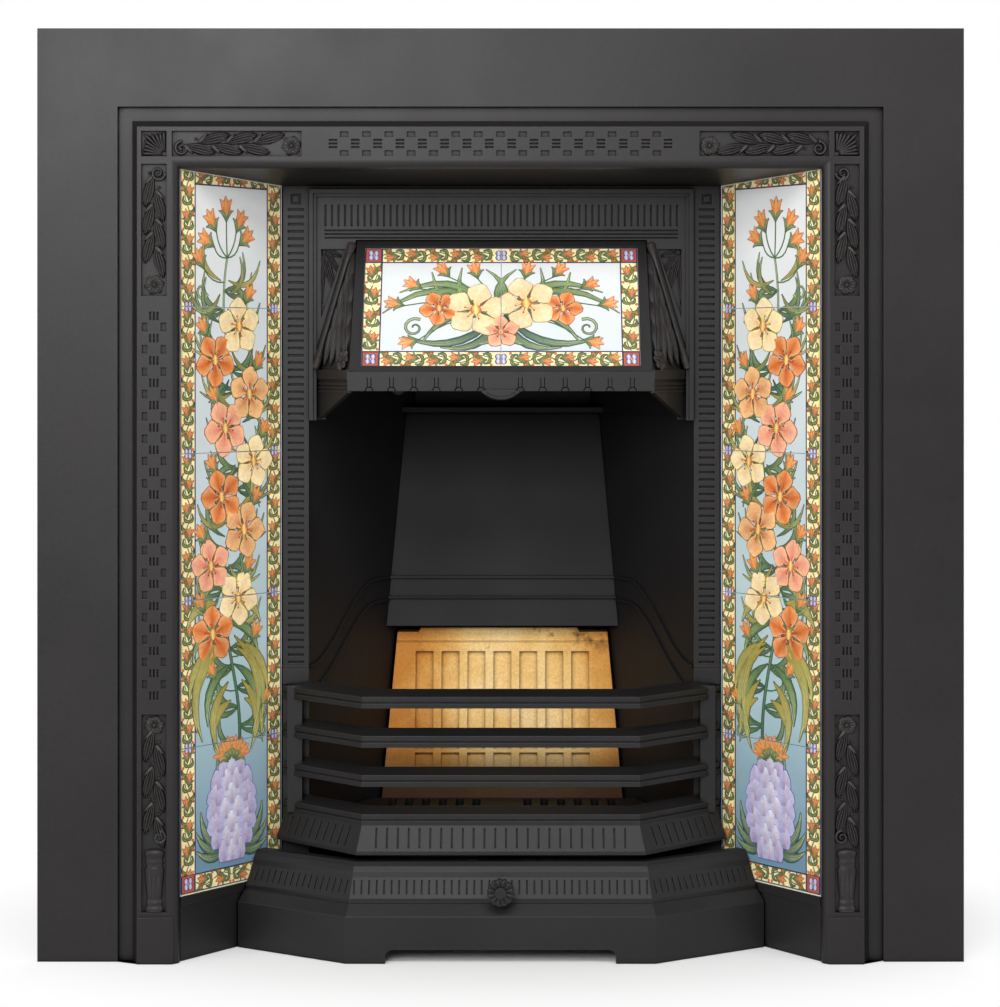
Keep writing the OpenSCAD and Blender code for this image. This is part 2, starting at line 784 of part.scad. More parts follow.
// moves a shape drawn with X across, Y inwards and Z up the lean onto the hood
module on_hood() {
    translate([0, hood_foot_y, wing_foot_z]) rotate([-hood_lean, 0, 0]) children();
}

tab_r = (tab_w * tab_w / 4 + tab_drop * tab_drop) / (2 * tab_drop);

// seat of the tiles and the screw holes of their clips
module tile_seat() {
    on_hood() {
        box([-pocket_w / 2, pocket_n, pocket_s], [pocket_w / 2, hood_t + 1, pocket_s + pocket_h]);
        for (x = clip_x) {
            for (s = clip_s) translate([x, hood_t + 1, s]) rotate([90, 0, 0]) cylinder(r = 2.1, h = 7);
        }
    }
}

module hood_front() {
    on_hood() difference() {
        translate([0, hood_t, 0]) rotate([90, 0, 0]) linear_extrude(hood_t) polygon([
            [-hood_half, 0], [hood_half, 0], [wing_top_half, hood_len], [-wing_top_half, hood_len]]);
        box([-hood_window_w / 2, -1, window_s], [hood_window_w / 2, hood_t + 1, window_s + hood_window_h]);
    }
}

module lip() {
    y0 = hood_foot_y;
    difference() {
        union() {
            box([-hood_half - 2, y0 - 1, lip_z], [hood_half + 2, y0 + lip_t, wing_foot_z + 3]);
            intersection() {
                translate([0, y0 + lip_t, lip_z - tab_drop + tab_r]) rotate([90, 0, 0])
                    cylinder(r = tab_r, h = lip_t + 3, $fn = 96);
                box([-tab_w / 2, y0 - 3, lip_z - tab_drop - 1], [tab_w / 2, y0 + lip_t, lip_z + 1]);
            }
        }
        upright(y0 - 2, y0 + 0.6) both_sides() for (k = [0:5]) {
            x = tab_w / 2 - 0.5 + k * keyhole_pitch;
            translate([x - 2.4, lip_z + 4]) square([0.9, lip_h - 7]);
            translate([x + 1.5, lip_z + 4]) square([0.9, lip_h - 7]);
            translate([x, lip_z]) difference() {
                circle(r = 4.6);
                circle(r = 3.4);
            }
        }
    }
}

// splayed wing with the ledge and the reeded band at its foot, drawn on the right
module wing() {
    top = [wing_top_half, hood_top_y, hood_top_z - 1];
    front = [hood_half, hood_foot_y, wing_foot_z];
    rear = [wing_out, inner_y, wing_foot_z];
    plate([top, front, rear], wing_t);
    plate([front, [hood_half, hood_foot_y, lip_z], [wing_out, inner_y, hood_foot_z + 1], rear], wing_t);
    out = unit(cross(rear - front, [0, 0, 1]));
    wing_strip(front + 2.5 * out, rear + 2.5 * out + 4 * unit(front - rear), -5, 5, 4);
    for (k = [0:2]) wing_strip(front + out, rear + out, -11 - 4 * k, -9 - 4 * k, 3);
}

// level strip on the wing between two points, from z0 to z1 over them
module wing_strip(front, rear, z0, z1, t) {
    up = [0, 0, 1];
    plate([front + z1 * up, front + z0 * up, rear + z0 * up, rear + z1 * up], t);
}

module hood() {
    depth = hood_flange_y + hood_flange_t;
    placed(iron) difference() {
        union() {
            hood_front();
            lip();
            both_sides() {
                wing();
                box([wing_out - 8, inner_y - 1, hood_foot_z + 1], [wing_out, depth, wing_foot_z]);
                plate([[wing_out, inner_y, wing_foot_z], [wing_out, depth, wing_foot_z],
                       [wing_top_half, depth, hood_top_z - 1], [wing_top_half, inner_y, hood_top_z - 1]],
                      wing_t);
            }
            upright(hood_flange_y, depth) difference() {
                translate([-hood_flange_half, hood_foot_z + 1])
                    square([2 * hood_flange_half, hood_flange_top - hood_foot_z - 1]);
                hood_opening(-4);
                both_sides() translate([surround_half - 8 - gap, smoke_bolt_z - tab_half - gap])
                    square([20, 2 * (tab_half + gap)]);
            }
            box([-wing_top_half, hood_top_y, hood_top_z - 5], [wing_top_half, depth, hood_top_z]);
        }
        tile_seat();
        hood_bolt_places() translate([0, depth + 1, 0]) bolt_hole(hood_flange_t + 2);
        ear_bolt_places() translate([0, depth + 1, 0]) bolt_hole(hood_flange_t + 2);
    }
}

module hood_bolts() {
    depth = hood_flange_y + hood_flange_t;
    placed(steel) {
        hood_bolt_places() translate([0, depth, 0]) rotate([90, 0, 0]) hex_bolt(hood_flange_t + 6);
        ear_bolt_places() translate([0, ear_foot_y + ear_foot_t, 0]) rotate([90, 0, 0])
            hex_bolt(ear_foot_t + hood_flange_t);
    }
}

module hood_tile(side) {
    x0 = side < 0 ? -tile_size - hood_tile_joint / 2 : hood_tile_joint / 2;
    placed(glaze) on_hood()
        box([x0, pocket_n + tile_play, pocket_s + pocket_side],
            [x0 + tile_size, pocket_n + tile_play + tile_t, pocket_s + pocket_side + tile_size]);
}

clip_x = [-130, -40, 40, 130];
clip_s = [4.2, hood_len - 2.6];
clip_t = 1.5;

module hood_tile_clips() {
    placed(steel) on_hood() for (x = clip_x) {
        for (top = [0, 1]) {
            s = top == 0 ? [0.6, pocket_s + 8] : [pocket_s + pocket_h - 9, hood_len - 0.2];
            difference() {
                box([x - 8, hood_t + gap, s[0]], [x + 8, hood_t + gap + clip_t, s[1]]);
                translate([x, hood_t, clip_s[top]]) rotate([-90, 0, 0]) cylinder(r = 2.1, h = clip_t + 2);
            }
        }
    }
}

module hood_clip_screws() {
    placed(steel) on_hood() for (x = clip_x) {
        for (s = clip_s) {
            translate([x, hood_t + gap + clip_t, s]) rotate([90, 0, 0]) {
                cylinder(r = 1.9, h = 6);
                translate([0, 0, -2]) cylinder(r = 3.5, h = 2);
            }
        }
    }
}

// ---- damper ----

ear_foot_w = 16;

module ear_bolt_places() {
    for (side = [-1, 1]) {
        translate([side * (flap_half + ear_gap + ear_t + ear_foot_w / 2), 0, ear_foot_z]) children();
    }
}

// drawn on the right
module damper_ear() {
    x0 = flap_half + ear_gap;
    x1 = x0 + ear_t;
    difference() {
        union() {
            translate([x0, hinge_y, hinge_z]) rotate([0, 90, 0]) cylinder(d = pin_d + 8, h = ear_t);
            box([x0, ear_foot_y, hinge_z], [x1, hinge_y + pin_d / 2 + 4, ear_foot_z + 6]);
            box([x0, ear_foot_y, ear_foot_z - 7], [x1 + ear_foot_w, ear_foot_y + ear_foot_t, ear_foot_z + 7]);
        }
        translate([x0 - 1, hinge_y, hinge_z]) rotate([0, 90, 0])
            cylinder(r = pin_d / 2 + pin_play, h = ear_t + 2);
        translate([x1 + ear_foot_w / 2, ear_foot_y - 1, ear_foot_z]) rotate([-90, 0, 0])
            cylinder(r = bolt_d / 2 + bolt_play, h = ear_foot_t + 2);
    }
}

module damper_ear_left() {
    placed(iron_dark) mirror([1, 0, 0]) damper_ear();
}

module damper_ear_right() {
    placed(iron_dark) damper_ear();
}

// the flap hangs along the hood: drawn from the hinge downwards
module on_flap() {
    translate([0, hinge_y, hinge_z]) rotate([-hood_lean, 0, 0]) children();
}

module damper_flap() {
    placed(iron_dark) on_flap() {
        box([-flap_half, -flap_t / 2, -flap_len], [flap_half, flap_t / 2, 0]);
        translate([-flap_half, 0, 0]) rotate([0, 90, 0]) cylinder(d = pin_d + 5, h = 2 * flap_half);
        translate([-flap_half - ear_gap - ear_t - 1, 0, 0]) rotate([0, 90, 0])
            cylinder(d = pin_d, h = 2 * (flap_half + ear_gap + ear_t + 1));
        for (z = [-flap_len + 5, -flap_len / 2]) {
            box([-flap_half, -flap_t / 2 - 2, z - 2.5], [flap_half, flap_t / 2, z + 2.5]);
        }
    }
}

module damper_knob() {
    placed(iron_dark) on_flap() translate([damper_knob_x, 0, -flap_len - damper_knob_drop]) {
        sphere(d = damper_knob_d);
        cylinder(d = 6, h = damper_knob_drop - 0.05);
    }
}

// ---- fire chamber, the side drawn on the right: t runs back along the side ----

function side_t(y) = (y - chamber_front_y) * side_len;
function side_rear_t(z) = side_t(chamber_back_y(z));
function step_z_at(t) = step_low_z + (band_z - step_low_z) * smooth(t / step_run);

module on_side() {
    translate([chamber_front_half, chamber_front_y, 0]) rotate([90, 0, 90 + atan(side_slope)]) children();
}

module side_band(drop) {
    steps = 16;
    run = side_t(chamber_back_y(band_z - band_w) - 2) - 1;
    polygon(concat(
        [for (k = [0:steps]) let (t = k * run / steps) [t, step_z_at(t) - drop]],
        [for (k = [steps:-1:0]) let (t = k * run / steps) [t, step_z_at(t) - drop - 3]]));
}

module side_outline(grow) {
    tail = side_tail + grow;
    polygon([[gap, 0], [side_rear_t(0) + tail, 0], [side_rear_t(chamber_back_z) + tail, chamber_back_z],
             [gap, chamber_back_z]]);
}

// how far the flanges of the chamber reach past the strips, behind the rear edges of the cheeks
flange_lap = 6;

module chamber_side() {
    difference() {
        union() {
            on_side() linear_extrude(chamber_wall) side_outline(0);
            on_side() translate([0, 0, -2]) linear_extrude(3) side_band(0);
            on_side() translate([0, 0, -2]) linear_extrude(3) side_band(band_w);
            on_side() translate([0, 0, -7]) linear_extrude(9) polygon([
                [8, ledge_z - 8], [side_rear_t(ledge_z) - 6, ledge_z - 8],
                [side_rear_t(ledge_z) - 6, ledge_z], [8, ledge_z]]);
            // flange behind the inner frame
            box([chamber_front_half + 1, chamber_front_y, 0],
                [strip_out + flange_lap, chamber_front_y + chamber_wall, chamber_back_z]);
        }
        for (z = lift_lug_z) {
            box([strip_mid - 7, chamber_front_y - 1, z - 12],
                [strip_mid + 7, chamber_front_y + chamber_wall + 6, z + lug_tongue + 28]);
        }
        bolt_pair(chamber_bolt_z) translate([0, chamber_front_y + chamber_wall + 1, 0])
            bolt_hole(chamber_wall + 2);
        back_bolt_places() translate([0, 0, -1]) cylinder(r = bolt_d / 2 + bolt_play, h = chamber_wall + 2);
    }
}

// bolts that hold the back between the sides, drawn on the right
module back_bolt_places() {
    on_side() for (z = [chamber_back_z - 131, chamber_back_z - 41]) {
        translate([side_rear_t(z) + side_tail - 8, z, 0]) children();
    }
}

module back_bolts() {
    placed(steel) both_sides() back_bolt_places() translate([0, 0, chamber_wall]) rotate([180, 0, 0])
        hex_bolt(chamber_wall + gap + 8);
}

module chamber_side_left() {
    placed(iron_dark) mirror([1, 0, 0]) chamber_side();
}

module chamber_side_right() {
    placed(iron_dark) chamber_side();
}

module flange_bolts(z) {
    placed(steel) bolt_pair(z) translate([0, chamber_front_y + chamber_wall, 0]) rotate([90, 0, 0])
        hex_bolt(chamber_wall + gap + 3.5);
}

// plan between the chamber sides, drawn a little narrower
module chamber_plan(inset, y1) {
    polygon([[-chamber_front_half + inset, chamber_front_y], [chamber_front_half - inset, chamber_front_y],
             [chamber_half(y1) - inset, y1], [-chamber_half(y1) + inset, y1]]);
}

module chamber_back() {
    w = chamber_wall;
    top = chamber_back_z;
    low = bay_top_z;
    placed(iron_dark) {
        intersection() {
            across(overall_w / 2) polygon([
                [chamber_back_y(low), low], [chamber_back_y(band_z - band_w), band_z - band_w],
                [chamber_back_y(band_z - band_w) - 2, band_z - band_w],
                [chamber_back_y(band_z - band_w) - 2, band_z - band_w + 3],
                [chamber_back_y(band_z - band_w + 3), band_z - band_w + 3],
                [chamber_back_y(band_z - 3), band_z - 3],
                [chamber_back_y(band_z - 3) - 2, band_z - 3],
                [chamber_back_y(band_z) - 2, band_z], [chamber_back_y(band_z), band_z],
                [chamber_back_y(top), top], [chamber_back_y(top) + w, top], [chamber_back_y(low) + w, low]]);
            linear_extrude(overall_h) chamber_plan(gap + 0.2, smoke_back_y);
        }
        intersection() {
            across(overall_w / 2) polygon([
                [chamber_back_y(0), 0], [chamber_back_y(brick_foot_z), brick_foot_z],
                [chamber_back_y(brick_foot_z) + w, brick_foot_z], [chamber_back_y(0) + w, 0]]);
            linear_extrude(overall_h) chamber_plan(gap + 0.2, smoke_back_y);
        }
        both_sides() difference() {
            back_bolt_places() box([-7, -9, -12], [7, 9, -gap]);
            back_bolt_places() translate([0, 0, -10]) cylinder(r = bolt_d / 2 + bolt_play, h = 10);
        }
        bay();
    }
}

// bay behind the brick: roof, back, floor and cheeks, open at the front
module bay() {
    low = brick_foot_z - brick_seat_t;
    high = bay_top_z + bay_wall;
    difference() {
        union() {
            across(bay_half + bay_wall) polygon([
                [chamber_back_y(low) + 0.5, low], [chamber_back_y(high) + 0.5, high],
                [bay_back_y + bay_wall, high], [bay_back_y + bay_wall, low]]);
            both_sides() box([bay_half, bay_front_y, low], [bay_half + bay_wall, bay_back_y, high]);
        }
        box([-bay_half, bay_front_y - 1, brick_foot_z], [bay_half, bay_back_y, bay_top_z]);
        both_sides() on_side() translate([0, 0, -gap]) linear_extrude(chamber_wall + 2 * gap)
            side_outline(gap);
    }
}

module smoke_box() {
    rear = smoke_back_y;
    z0 = smoke_foot_z;
    placed(iron_dark) difference() {
        union() {
            both_sides() on_side() linear_extrude(chamber_wall) polygon([
                [gap, z0], [side_t(rear), z0], [side_t(rear), smoke_top_z], [gap, smoke_top_z]]);
            both_sides() box([chamber_front_half + 1, chamber_front_y, z0],
                [strip_out + flange_lap, chamber_front_y + chamber_wall, inner_top_z - 8]);
            box([-chamber_half(rear) - 9, rear, z0], [chamber_half(rear) + 9, rear + chamber_wall, smoke_top_z]);
            intersection() {
                box([-overall_w / 2, chamber_front_y, smoke_top_z - 6], [overall_w / 2, rear + 1, smoke_top_z]);
                linear_extrude(overall_h) chamber_plan(-2, rear + 1);
            }
            // ledges that the flap closes against, and the smoke shelf behind the chamber back
            intersection() {
                union() {
                    box([-overall_w / 2, stop_y, stop_z], [overall_w / 2, rear + 1, stop_z + 6]);
                    translate([0, hinge_y, hinge_z]) rotate([closed_angle, 0, 0]) both_sides()
                        box([flap_half - 8, flap_t / 2 + 1, -stop_reach - 4], [overall_w / 2, flap_t / 2 + 7, -16]);
                    box([-overall_w / 2, chamber_back_y(chamber_back_z) - 8, z0], [overall_w / 2, rear + 1, z0 + 6]);
                }
                linear_extrude(overall_h) chamber_plan(-2, rear + 1);
            }
            translate([0, flue_y, smoke_top_z - 1]) linear_extrude(flue_neck + 1)
                square([flue_w + 2 * flue_wall, flue_d + 2 * flue_wall], center = true);
            translate([0, flue_y, smoke_top_z + flue_neck - 6]) linear_extrude(6)
                square([flue_w + 2 * (flue_wall + flue_flange), flue_d + 2 * (flue_wall + flue_flange)],
                       center = true);
        }
        translate([0, flue_y, smoke_top_z - 10]) linear_extrude(flue_neck + 20)
            square([flue_w, flue_d], center = true);
        for (x = [-0.5, 0.5]) {
            for (y = [-0.5, 0.5]) {
                translate([x * flue_bolt_x, flue_y + y * flue_bolt_y, smoke_top_z + flue_neck - 10])
                    cylinder(d = lug_hole_d, h = 20);
            }
        }
        bolt_pair(smoke_bolt_z) translate([0, chamber_front_y + chamber_wall + 1, 0])
            bolt_hole(chamber_wall + 2);
        both_sides() box([surround_half - 10, chamber_front_y - 1, smoke_bolt_z - tab_half - gap],
                         [strip_out, chamber_front_y + tab_t + gap, smoke_bolt_z + tab_half + gap]);
    }
}

// ---- brick and grate ----

module brick_front() {
    b = brick_foot_w / 2;
    t = brick_top_w / 2;
    z1 = brick_foot_z + brick_h;
    polygon([[-b, brick_foot_z + gap], [b, brick_foot_z + gap], [t, z1 - 5], [t - 32, z1 - 5], [t - 35, z1],
             [-t + 27, z1], [-t + 24, z1 - 5], [-t, z1 - 5]]);
}

brick_columns = 7;

module back_brick() {
    z0 = brick_foot_z;
    z1 = brick_foot_z + brick_h;
    pitch = 30;
    placed(buff) difference() {
        intersection() {
            upright(brick_face_y - 60, bay_back_y) brick_front();
            across(overall_w / 2) polygon([
                [brick_face_y, z0], [brick_face_y + brick_h * back_tan, z1],
                [brick_face_y + brick_h * back_tan + brick_t, z1], [brick_face_y + brick_t, z0]]);
        }
        translate([0, brick_face_y, z0]) rotate([-back_lean, 0, 0]) {
            for (k = [0:brick_columns - 1]) {
                x = (k - (brick_columns - 1) / 2) * pitch;
                box([x - 10.3, -5, 57], [x + 10.3, 4, brick_h - 24]);
                box([x - 10.3, -5, 34], [x + 10.3, 4, 53]);
            }
            box([-overall_w / 2, -5, brick_h - 14], [overall_w / 2, 0.8, brick_h - 12]);
        }
    }
}

grate_slots = 6;

module bottom_grate() {
    front = bars_front_y + bar_d + 3.3;
    front_half = bars_front_half - 9;
    wide_y = inner_y - 4;
    wide_half = strip_in - 5;
    rear = chamber_back_y(grate_z) - 3;
    placed(iron_dark) difference() {
        translate([0, 0, grate_z - grate_t]) linear_extrude(grate_t) polygon([
            [-front_half, front], [front_half, front], [wide_half, wide_y], [wide_half, chamber_front_y],
            [chamber_half(rear) - 3, rear], [-chamber_half(rear) + 3, rear],
            [-wide_half, chamber_front_y], [-wide_half, wide_y]]);
        for (k = [0:grate_slots - 1]) {
            x = 28.7 + k * grate_pitch;
            both_sides() for (y = [[front + 16 + 2 * k, inner_y + 30], [inner_y + 42, rear - 6]]) {
                translate([0, 0, grate_z - grate_t - 1]) linear_extrude(grate_t + 2) {
                    translate([x - grate_slot_w / 2, y[0]]) square([grate_slot_w, y[1] - y[0] - grate_slot_w / 2]);
                    translate([x, y[1] - grate_slot_w / 2]) circle(d = grate_slot_w);
                }
            }
        }
    }
}

// ---- front bars ----

// front and top of a bar, from its lower front edge round to its upper rear edge
function bar_outline(z) = [
    [0, z], [0, z + 5], [-1.5, z + 5.5], [-1.5, z + 6.5], [-0.4, z + 7], [-0.4, z + bar_h],
    [-bar_d, z + bar_top]];

module bar(z) {
    mitred(bars_path, concat(bar_outline(z), [[-bar_d, z + 2]]), [-1, 0], [1, 0]);
}

// nose that hangs from the lowest bar in front of the grate
module nose() {
    mitred(nose_path, [
        [nose_top_n, nose_top_z], [nose_flare, nose_foot_z + 4], [nose_flare, nose_foot_z],
        [nose_flare - 6, nose_foot_z], [nose_top_n - 4, nose_top_z]], cheek_out_left, cheek_out);
}

// short cutters set out along a path, standing across a sloping band
module path_flutes(path, pitch, z0, z1, n0, n1, depth, w) {
    for (i = [0:len(path) - 2]) {
        a = path[i];
        b = path[i + 1];
        run = norm(b - a);
        count = floor((run - pitch) / pitch);
        for (k = [0:count - 1]) {
            c = a + (b - a) * (0.5 + (k - (count - 1) / 2) * pitch / run);
            translate([c[0], c[1], 0]) rotate(atan2(b[1] - a[1], b[0] - a[0]))
                translate([-w / 2, 0, 0]) rotate([90, 0, 90]) linear_extrude(w) polygon([
                    [depth - n0, z0], [depth - n1, z1], [-n1 - 6, z1], [-n0 - 6, z0]]);
        }
    }
}

module lift_hook(z) {
    box([strip_mid - 4, bars_end_y - 8, z], [strip_mid + 4, chamber_front_y + 6, z + lug_tongue]);
    box([strip_mid - 4, inner_back_y + 1, z - 10], [strip_mid + 4, chamber_front_y + 6, z + lug_tongue]);
}

// how far the nose stands out at height z
function nose_n(z) = nose_top_n + (nose_flare - nose_top_n) * (nose_top_z - z)
    / (nose_top_z - nose_foot_z - 4);

module front_bars() {
    placed(iron) {
        difference() {
            union() {
                nose();
                for (k = [0:3]) bar(bar_base_z + k * bar_pitch);
                both_sides() box([strip_mid - 8, bars_end_y - 12, bar_base_z + 1],
                                 [strip_mid + 8, bars_end_y - 0.5, bar_base_z + 3 * bar_pitch + bar_h + 2]);
            }
            path_flutes(nose_path, nose_pitch, nose_foot_z + 7, nose_flute_z,
                        nose_n(nose_foot_z + 7), nose_n(nose_flute_z), 1.5, 1.8);
        }
        both_sides() for (z = lift_lug_z) lift_hook(z);
    }
}

// ---- ashpit cover ----

cap_n = -10;
band_n0 = -12;
band_n1 = -22;
cap_z = 59.5;
flute_z = [65.5, 84];
top_n = -30;

// offset of the fluted band at height z
function band_n(z) = band_n0 + (band_n1 - band_n0) * (z - flute_z[0] + 1) / (flute_z[1] - flute_z[0] + 1);

// half of the arch between the feet, and its mirror image
module arch() {
    r = 8;
    translate([-arch_w / 2, -1]) square([arch_w, arch_h - r + 1]);
    translate([-arch_w / 2 + r, -1]) square([arch_w - 2 * r, arch_h + 1]);
    for (x = [-arch_w / 2 + r, arch_w / 2 - r]) translate([x, arch_h - r]) circle(r = r);
}

module ashpit_cover() {
    w = cover_wall;
    section = [
        [0, 0], [0, plinth_h], [cap_n, cap_z], [cap_n - 2, cap_z + 0.5], [cap_n - 2, cap_z + 3],
        [band_n0, flute_z[0] - 1], [band_n1, flute_z[1]], [band_n1 - 1, flute_z[1] + 6],
        [band_n1 - 4, cover_h - 4], [top_n, cover_h], [top_n - 12, cover_h], [top_n - 12, cover_h - w],
        [top_n - 1, cover_h - w - 2], [band_n1 - w, flute_z[1]], [band_n0 - w - 2, cap_z],
        [-w, plinth_h - 3], [-w, 0]];
    placed(iron) difference() {
        mitred(cover_path, section, cheek_out_left, cheek_out);
        upright(cover_front_y - w, cover_front_y + 2 * w) arch();
        path_flutes(cover_path, cover_pitch, flute_z[0] + 3, flute_z[1] - 2.5,
                    band_n(flute_z[0] + 3), band_n(flute_z[1] - 2.5), 1.4, 1.6);
        translate([0, cover_front_y + 40, knob_z]) rotate([90, 0, 0]) cylinder(d = stud_d + 0.2, h = 60);
    }
}

// the stem meets the band at the lower edge of the stem, and the nut the back of the wall at its upper edge
stem_end_y = cover_front_y - band_n(knob_z - stem_d / 2) - gap;
nut_y = cover_front_y - band_n(knob_z + nut_w / 2) + cover_wall + 1;

module cover_knob() {
    petals = 13;
    placed(iron) translate([0, knob_front_y, knob_z]) rotate([-90, 0, 0]) {
        difference() {
            translate([0, 0, 2]) cylinder(d = knob_d, h = knob_t);
            for (k = [0:petals - 1]) {
                rotate(k * 360 / petals) translate([knob_d / 2 + 0.5, 0, 0]) cylinder(d = 3.4, h = 12);
            }
        }
        cylinder(d = 10, h = 6);
        cylinder(d = stem_d, h = stem_end_y - knob_front_y);
        cylinder(d = stud_d, h = nut_y + nut_t + 3 - knob_front_y);
    }
}

module cover_knob_nut() {
    placed(steel) translate([0, nut_y, knob_z]) rotate([-90, 0, 0]) difference() {
        cylinder(d = nut_w, h = nut_t, $fn = 6);
        translate([0, 0, -1]) cylinder(d = stud_d + 0.2, h = nut_t + 2);
    }
}

// ---- ash pan ----

module ash_pan() {
    placed(steel) translate([0, pan_front_y, 0]) difference() {
        box([-pan_w / 2, 0, 0], [pan_w / 2, pan_d, pan_h]);
        box([-pan_w / 2 + pan_t, pan_t, pan_t], [pan_w / 2 - pan_t, pan_d - pan_t, pan_h + 1]);
    }
}

module ash_pan_handle() {
    y1 = pan_front_y - gap;
    placed(steel) {
        box([-30, y1 - 1.5, 34], [30, y1, 50]);
        for (x = [-26, 26]) translate([x, y1 - 1, 42]) rotate([90, 0, 0]) cylinder(d = 5, h = 20);
        translate([-28.5, y1 - 20, 42]) rotate([0, 90, 0]) cylinder(d = 5, h = 57);
    }
}

// ---- wall lugs behind the cheeks ----

lug_z = [200, frame_top - 183];
lug_wall = 4;
lug_bolt_x = 18;
lug_hole_y = 30;

module lug_frame() {
    for (z = lug_z) translate([frame_half - 24, frame_back_y + gap, z]) children();
}

module wall_lugs() {
    placed(steel) both_sides() lug_frame() difference() {
        union() {
            box([0, 0, -lug_w / 2], [lug_wall, 46, lug_w / 2]);
            box([0, 0, -lug_w / 2], [30, lug_wall, lug_w / 2]);
        }
        translate([-1, lug_hole_y, 0]) rotate([0, 90, 0]) cylinder(d = lug_hole_d, h = lug_wall + 2);
        lug_bolt_hole(lug_wall + 1);
    }
}

// hole for the bolt that holds a lug, from its back to the given depth
module lug_bolt_hole(depth) {
    translate([lug_bolt_x, lug_wall + 1, 0]) rotate([90, 0, 0])
        cylinder(r = bolt_d / 2 + bolt_play, h = depth + 1);
}

module wall_lug_bolts() {
    placed(steel) both_sides() lug_frame() translate([lug_bolt_x, lug_wall, 0]) rotate([90, 0, 0])
        hex_bolt(lug_wall + gap + 3.5);
}

// ---- the pieces ----

surround_plate();
moulded_frame();
surround_bolts();
soffit();
soffit_bolts();
cheek_bolts();
cheek_left();
cheek_right();
tile_keeper_left();
tile_keeper_right();
keeper_screws();
for (i = [1:tile_rows]) {
    placed(glaze) mirror([1, 0, 0]) cheek_tile(i);
    placed(glaze) cheek_tile(i);
}
inner_frame();
hood_surround();
hood();
hood_tile(-1);  // hood_tile_left
hood_tile(1);  // hood_tile_right
hood_tile_clips();
hood_clip_screws();
hood_bolts();
damper_ear_left();
damper_ear_right();
damper_flap();
damper_knob();
chamber_side_left();
chamber_side_right();
chamber_back();
flange_bolts(chamber_bolt_z);  // chamber_bolts
back_bolts();
smoke_box();
flange_bolts(smoke_bolt_z);  // smoke_box_bolts
back_brick();
bottom_grate();
front_bars();
ashpit_cover();
cover_knob();
cover_knob_nut();
ash_pan();
ash_pan_handle();
wall_lugs();
wall_lug_bolts();
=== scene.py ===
# %% [markdown]
# # A tiled cast iron fireplace insert
# The real thing is a set of thin iron castings bolted behind a flat surround plate: a moulded
# frame, two splayed cheeks full of glazed tiles, a sloping tiled hood with a damper, a fire
# chamber, a hooked-on set of bars and a loose ashpit cover.
# The solid model already holds every casting at its real size, so this notebook keeps those
# solids and adds what a foundry and a tile painter add: grain, carving, glaze and colour.

# %% Load the solid model
import math

import bmesh
import bpy
from mathutils import Matrix, Vector


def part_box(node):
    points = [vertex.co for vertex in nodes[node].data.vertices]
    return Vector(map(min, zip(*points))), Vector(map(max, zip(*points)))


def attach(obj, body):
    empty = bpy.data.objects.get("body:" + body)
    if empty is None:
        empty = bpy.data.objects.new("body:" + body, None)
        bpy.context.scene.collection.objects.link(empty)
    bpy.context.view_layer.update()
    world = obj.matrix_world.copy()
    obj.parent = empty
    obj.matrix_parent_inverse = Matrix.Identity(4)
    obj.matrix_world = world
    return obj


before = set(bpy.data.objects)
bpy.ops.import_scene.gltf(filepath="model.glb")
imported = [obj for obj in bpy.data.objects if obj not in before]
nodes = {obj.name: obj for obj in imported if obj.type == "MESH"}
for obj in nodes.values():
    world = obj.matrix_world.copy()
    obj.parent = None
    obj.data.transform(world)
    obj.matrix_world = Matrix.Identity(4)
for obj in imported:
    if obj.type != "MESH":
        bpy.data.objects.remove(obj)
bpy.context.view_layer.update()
print("pieces in the solid model:", len(nodes))

# %% [markdown]
# Sizes are written in millimetres with Y counted from the front of the surround plate, the way
# a fitter would measure. One helper turns such a place into metres in the model's own frame.

# %% Places in millimetres
PLATE_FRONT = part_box("surround_plate")[0][1]


def place(x, y, z):
    """A point given in millimetres, with Y = 0 on the front of the surround plate."""
    return Vector((x / 1000, PLATE_FRONT + y / 1000, z / 1000))


def mm(value):
    return value / 1000


def new_object(name, data):
    """Puts a new object with this data into the scene."""
    thing = bpy.data.objects.new(name, data)
    bpy.context.scene.collection.objects.link(thing)
    return thing


print("plate front at", round(PLATE_FRONT, 4))

# %% [markdown]
# ## Camera
# The photograph was taken square on, a little right of the middle and with the lens shifted
# down, so uprights stay upright. A shifted camera gives exactly that picture. The numbers come
# from fitting the edges of the plate, the frame and the hearth line.

# %% Camera
LONG_SIDE, FOCAL_PX = 1007, 2457
SHIFT_X_PX, SHIFT_Y_PX = -18, -141.5
EYE = (18, -2540, 620)
camera_data = bpy.data.cameras.new("camera")
camera_data.sensor_width = 36
camera_data.lens = FOCAL_PX / LONG_SIDE * camera_data.sensor_width
camera_data.shift_x = SHIFT_X_PX / LONG_SIDE
camera_data.shift_y = SHIFT_Y_PX / LONG_SIDE
camera = new_object("camera", camera_data)
camera.location = place(*EYE)
camera.rotation_euler = (math.radians(90), 0, 0)
bpy.context.scene.camera = camera
print("lens", round(camera_data.lens, 1), "mm")

# %% [markdown]
# ## Light
# A product studio lights dark iron with big soft boxes, because small lamps make hard spots on
# it. One wide box high in front gives the sheen that fades down the plate, one beside the camera
# reaches into the fire chamber, two weak boxes at the sides keep the cheeks even, and one behind
# shows the backs of the castings when the model is turned round.

# %% Soft boxes


def soft_box(name, at, aim, size, watts):
    data = bpy.data.lights.new(name, "AREA")
    data.shape = "RECTANGLE"
    data.size, data.size_y = size
    data.energy = watts
    lamp = new_object(name, data)
    lamp.location = at
    lamp.rotation_euler = (Vector(aim) - Vector(at)).to_track_quat("-Z", "Y").to_euler()


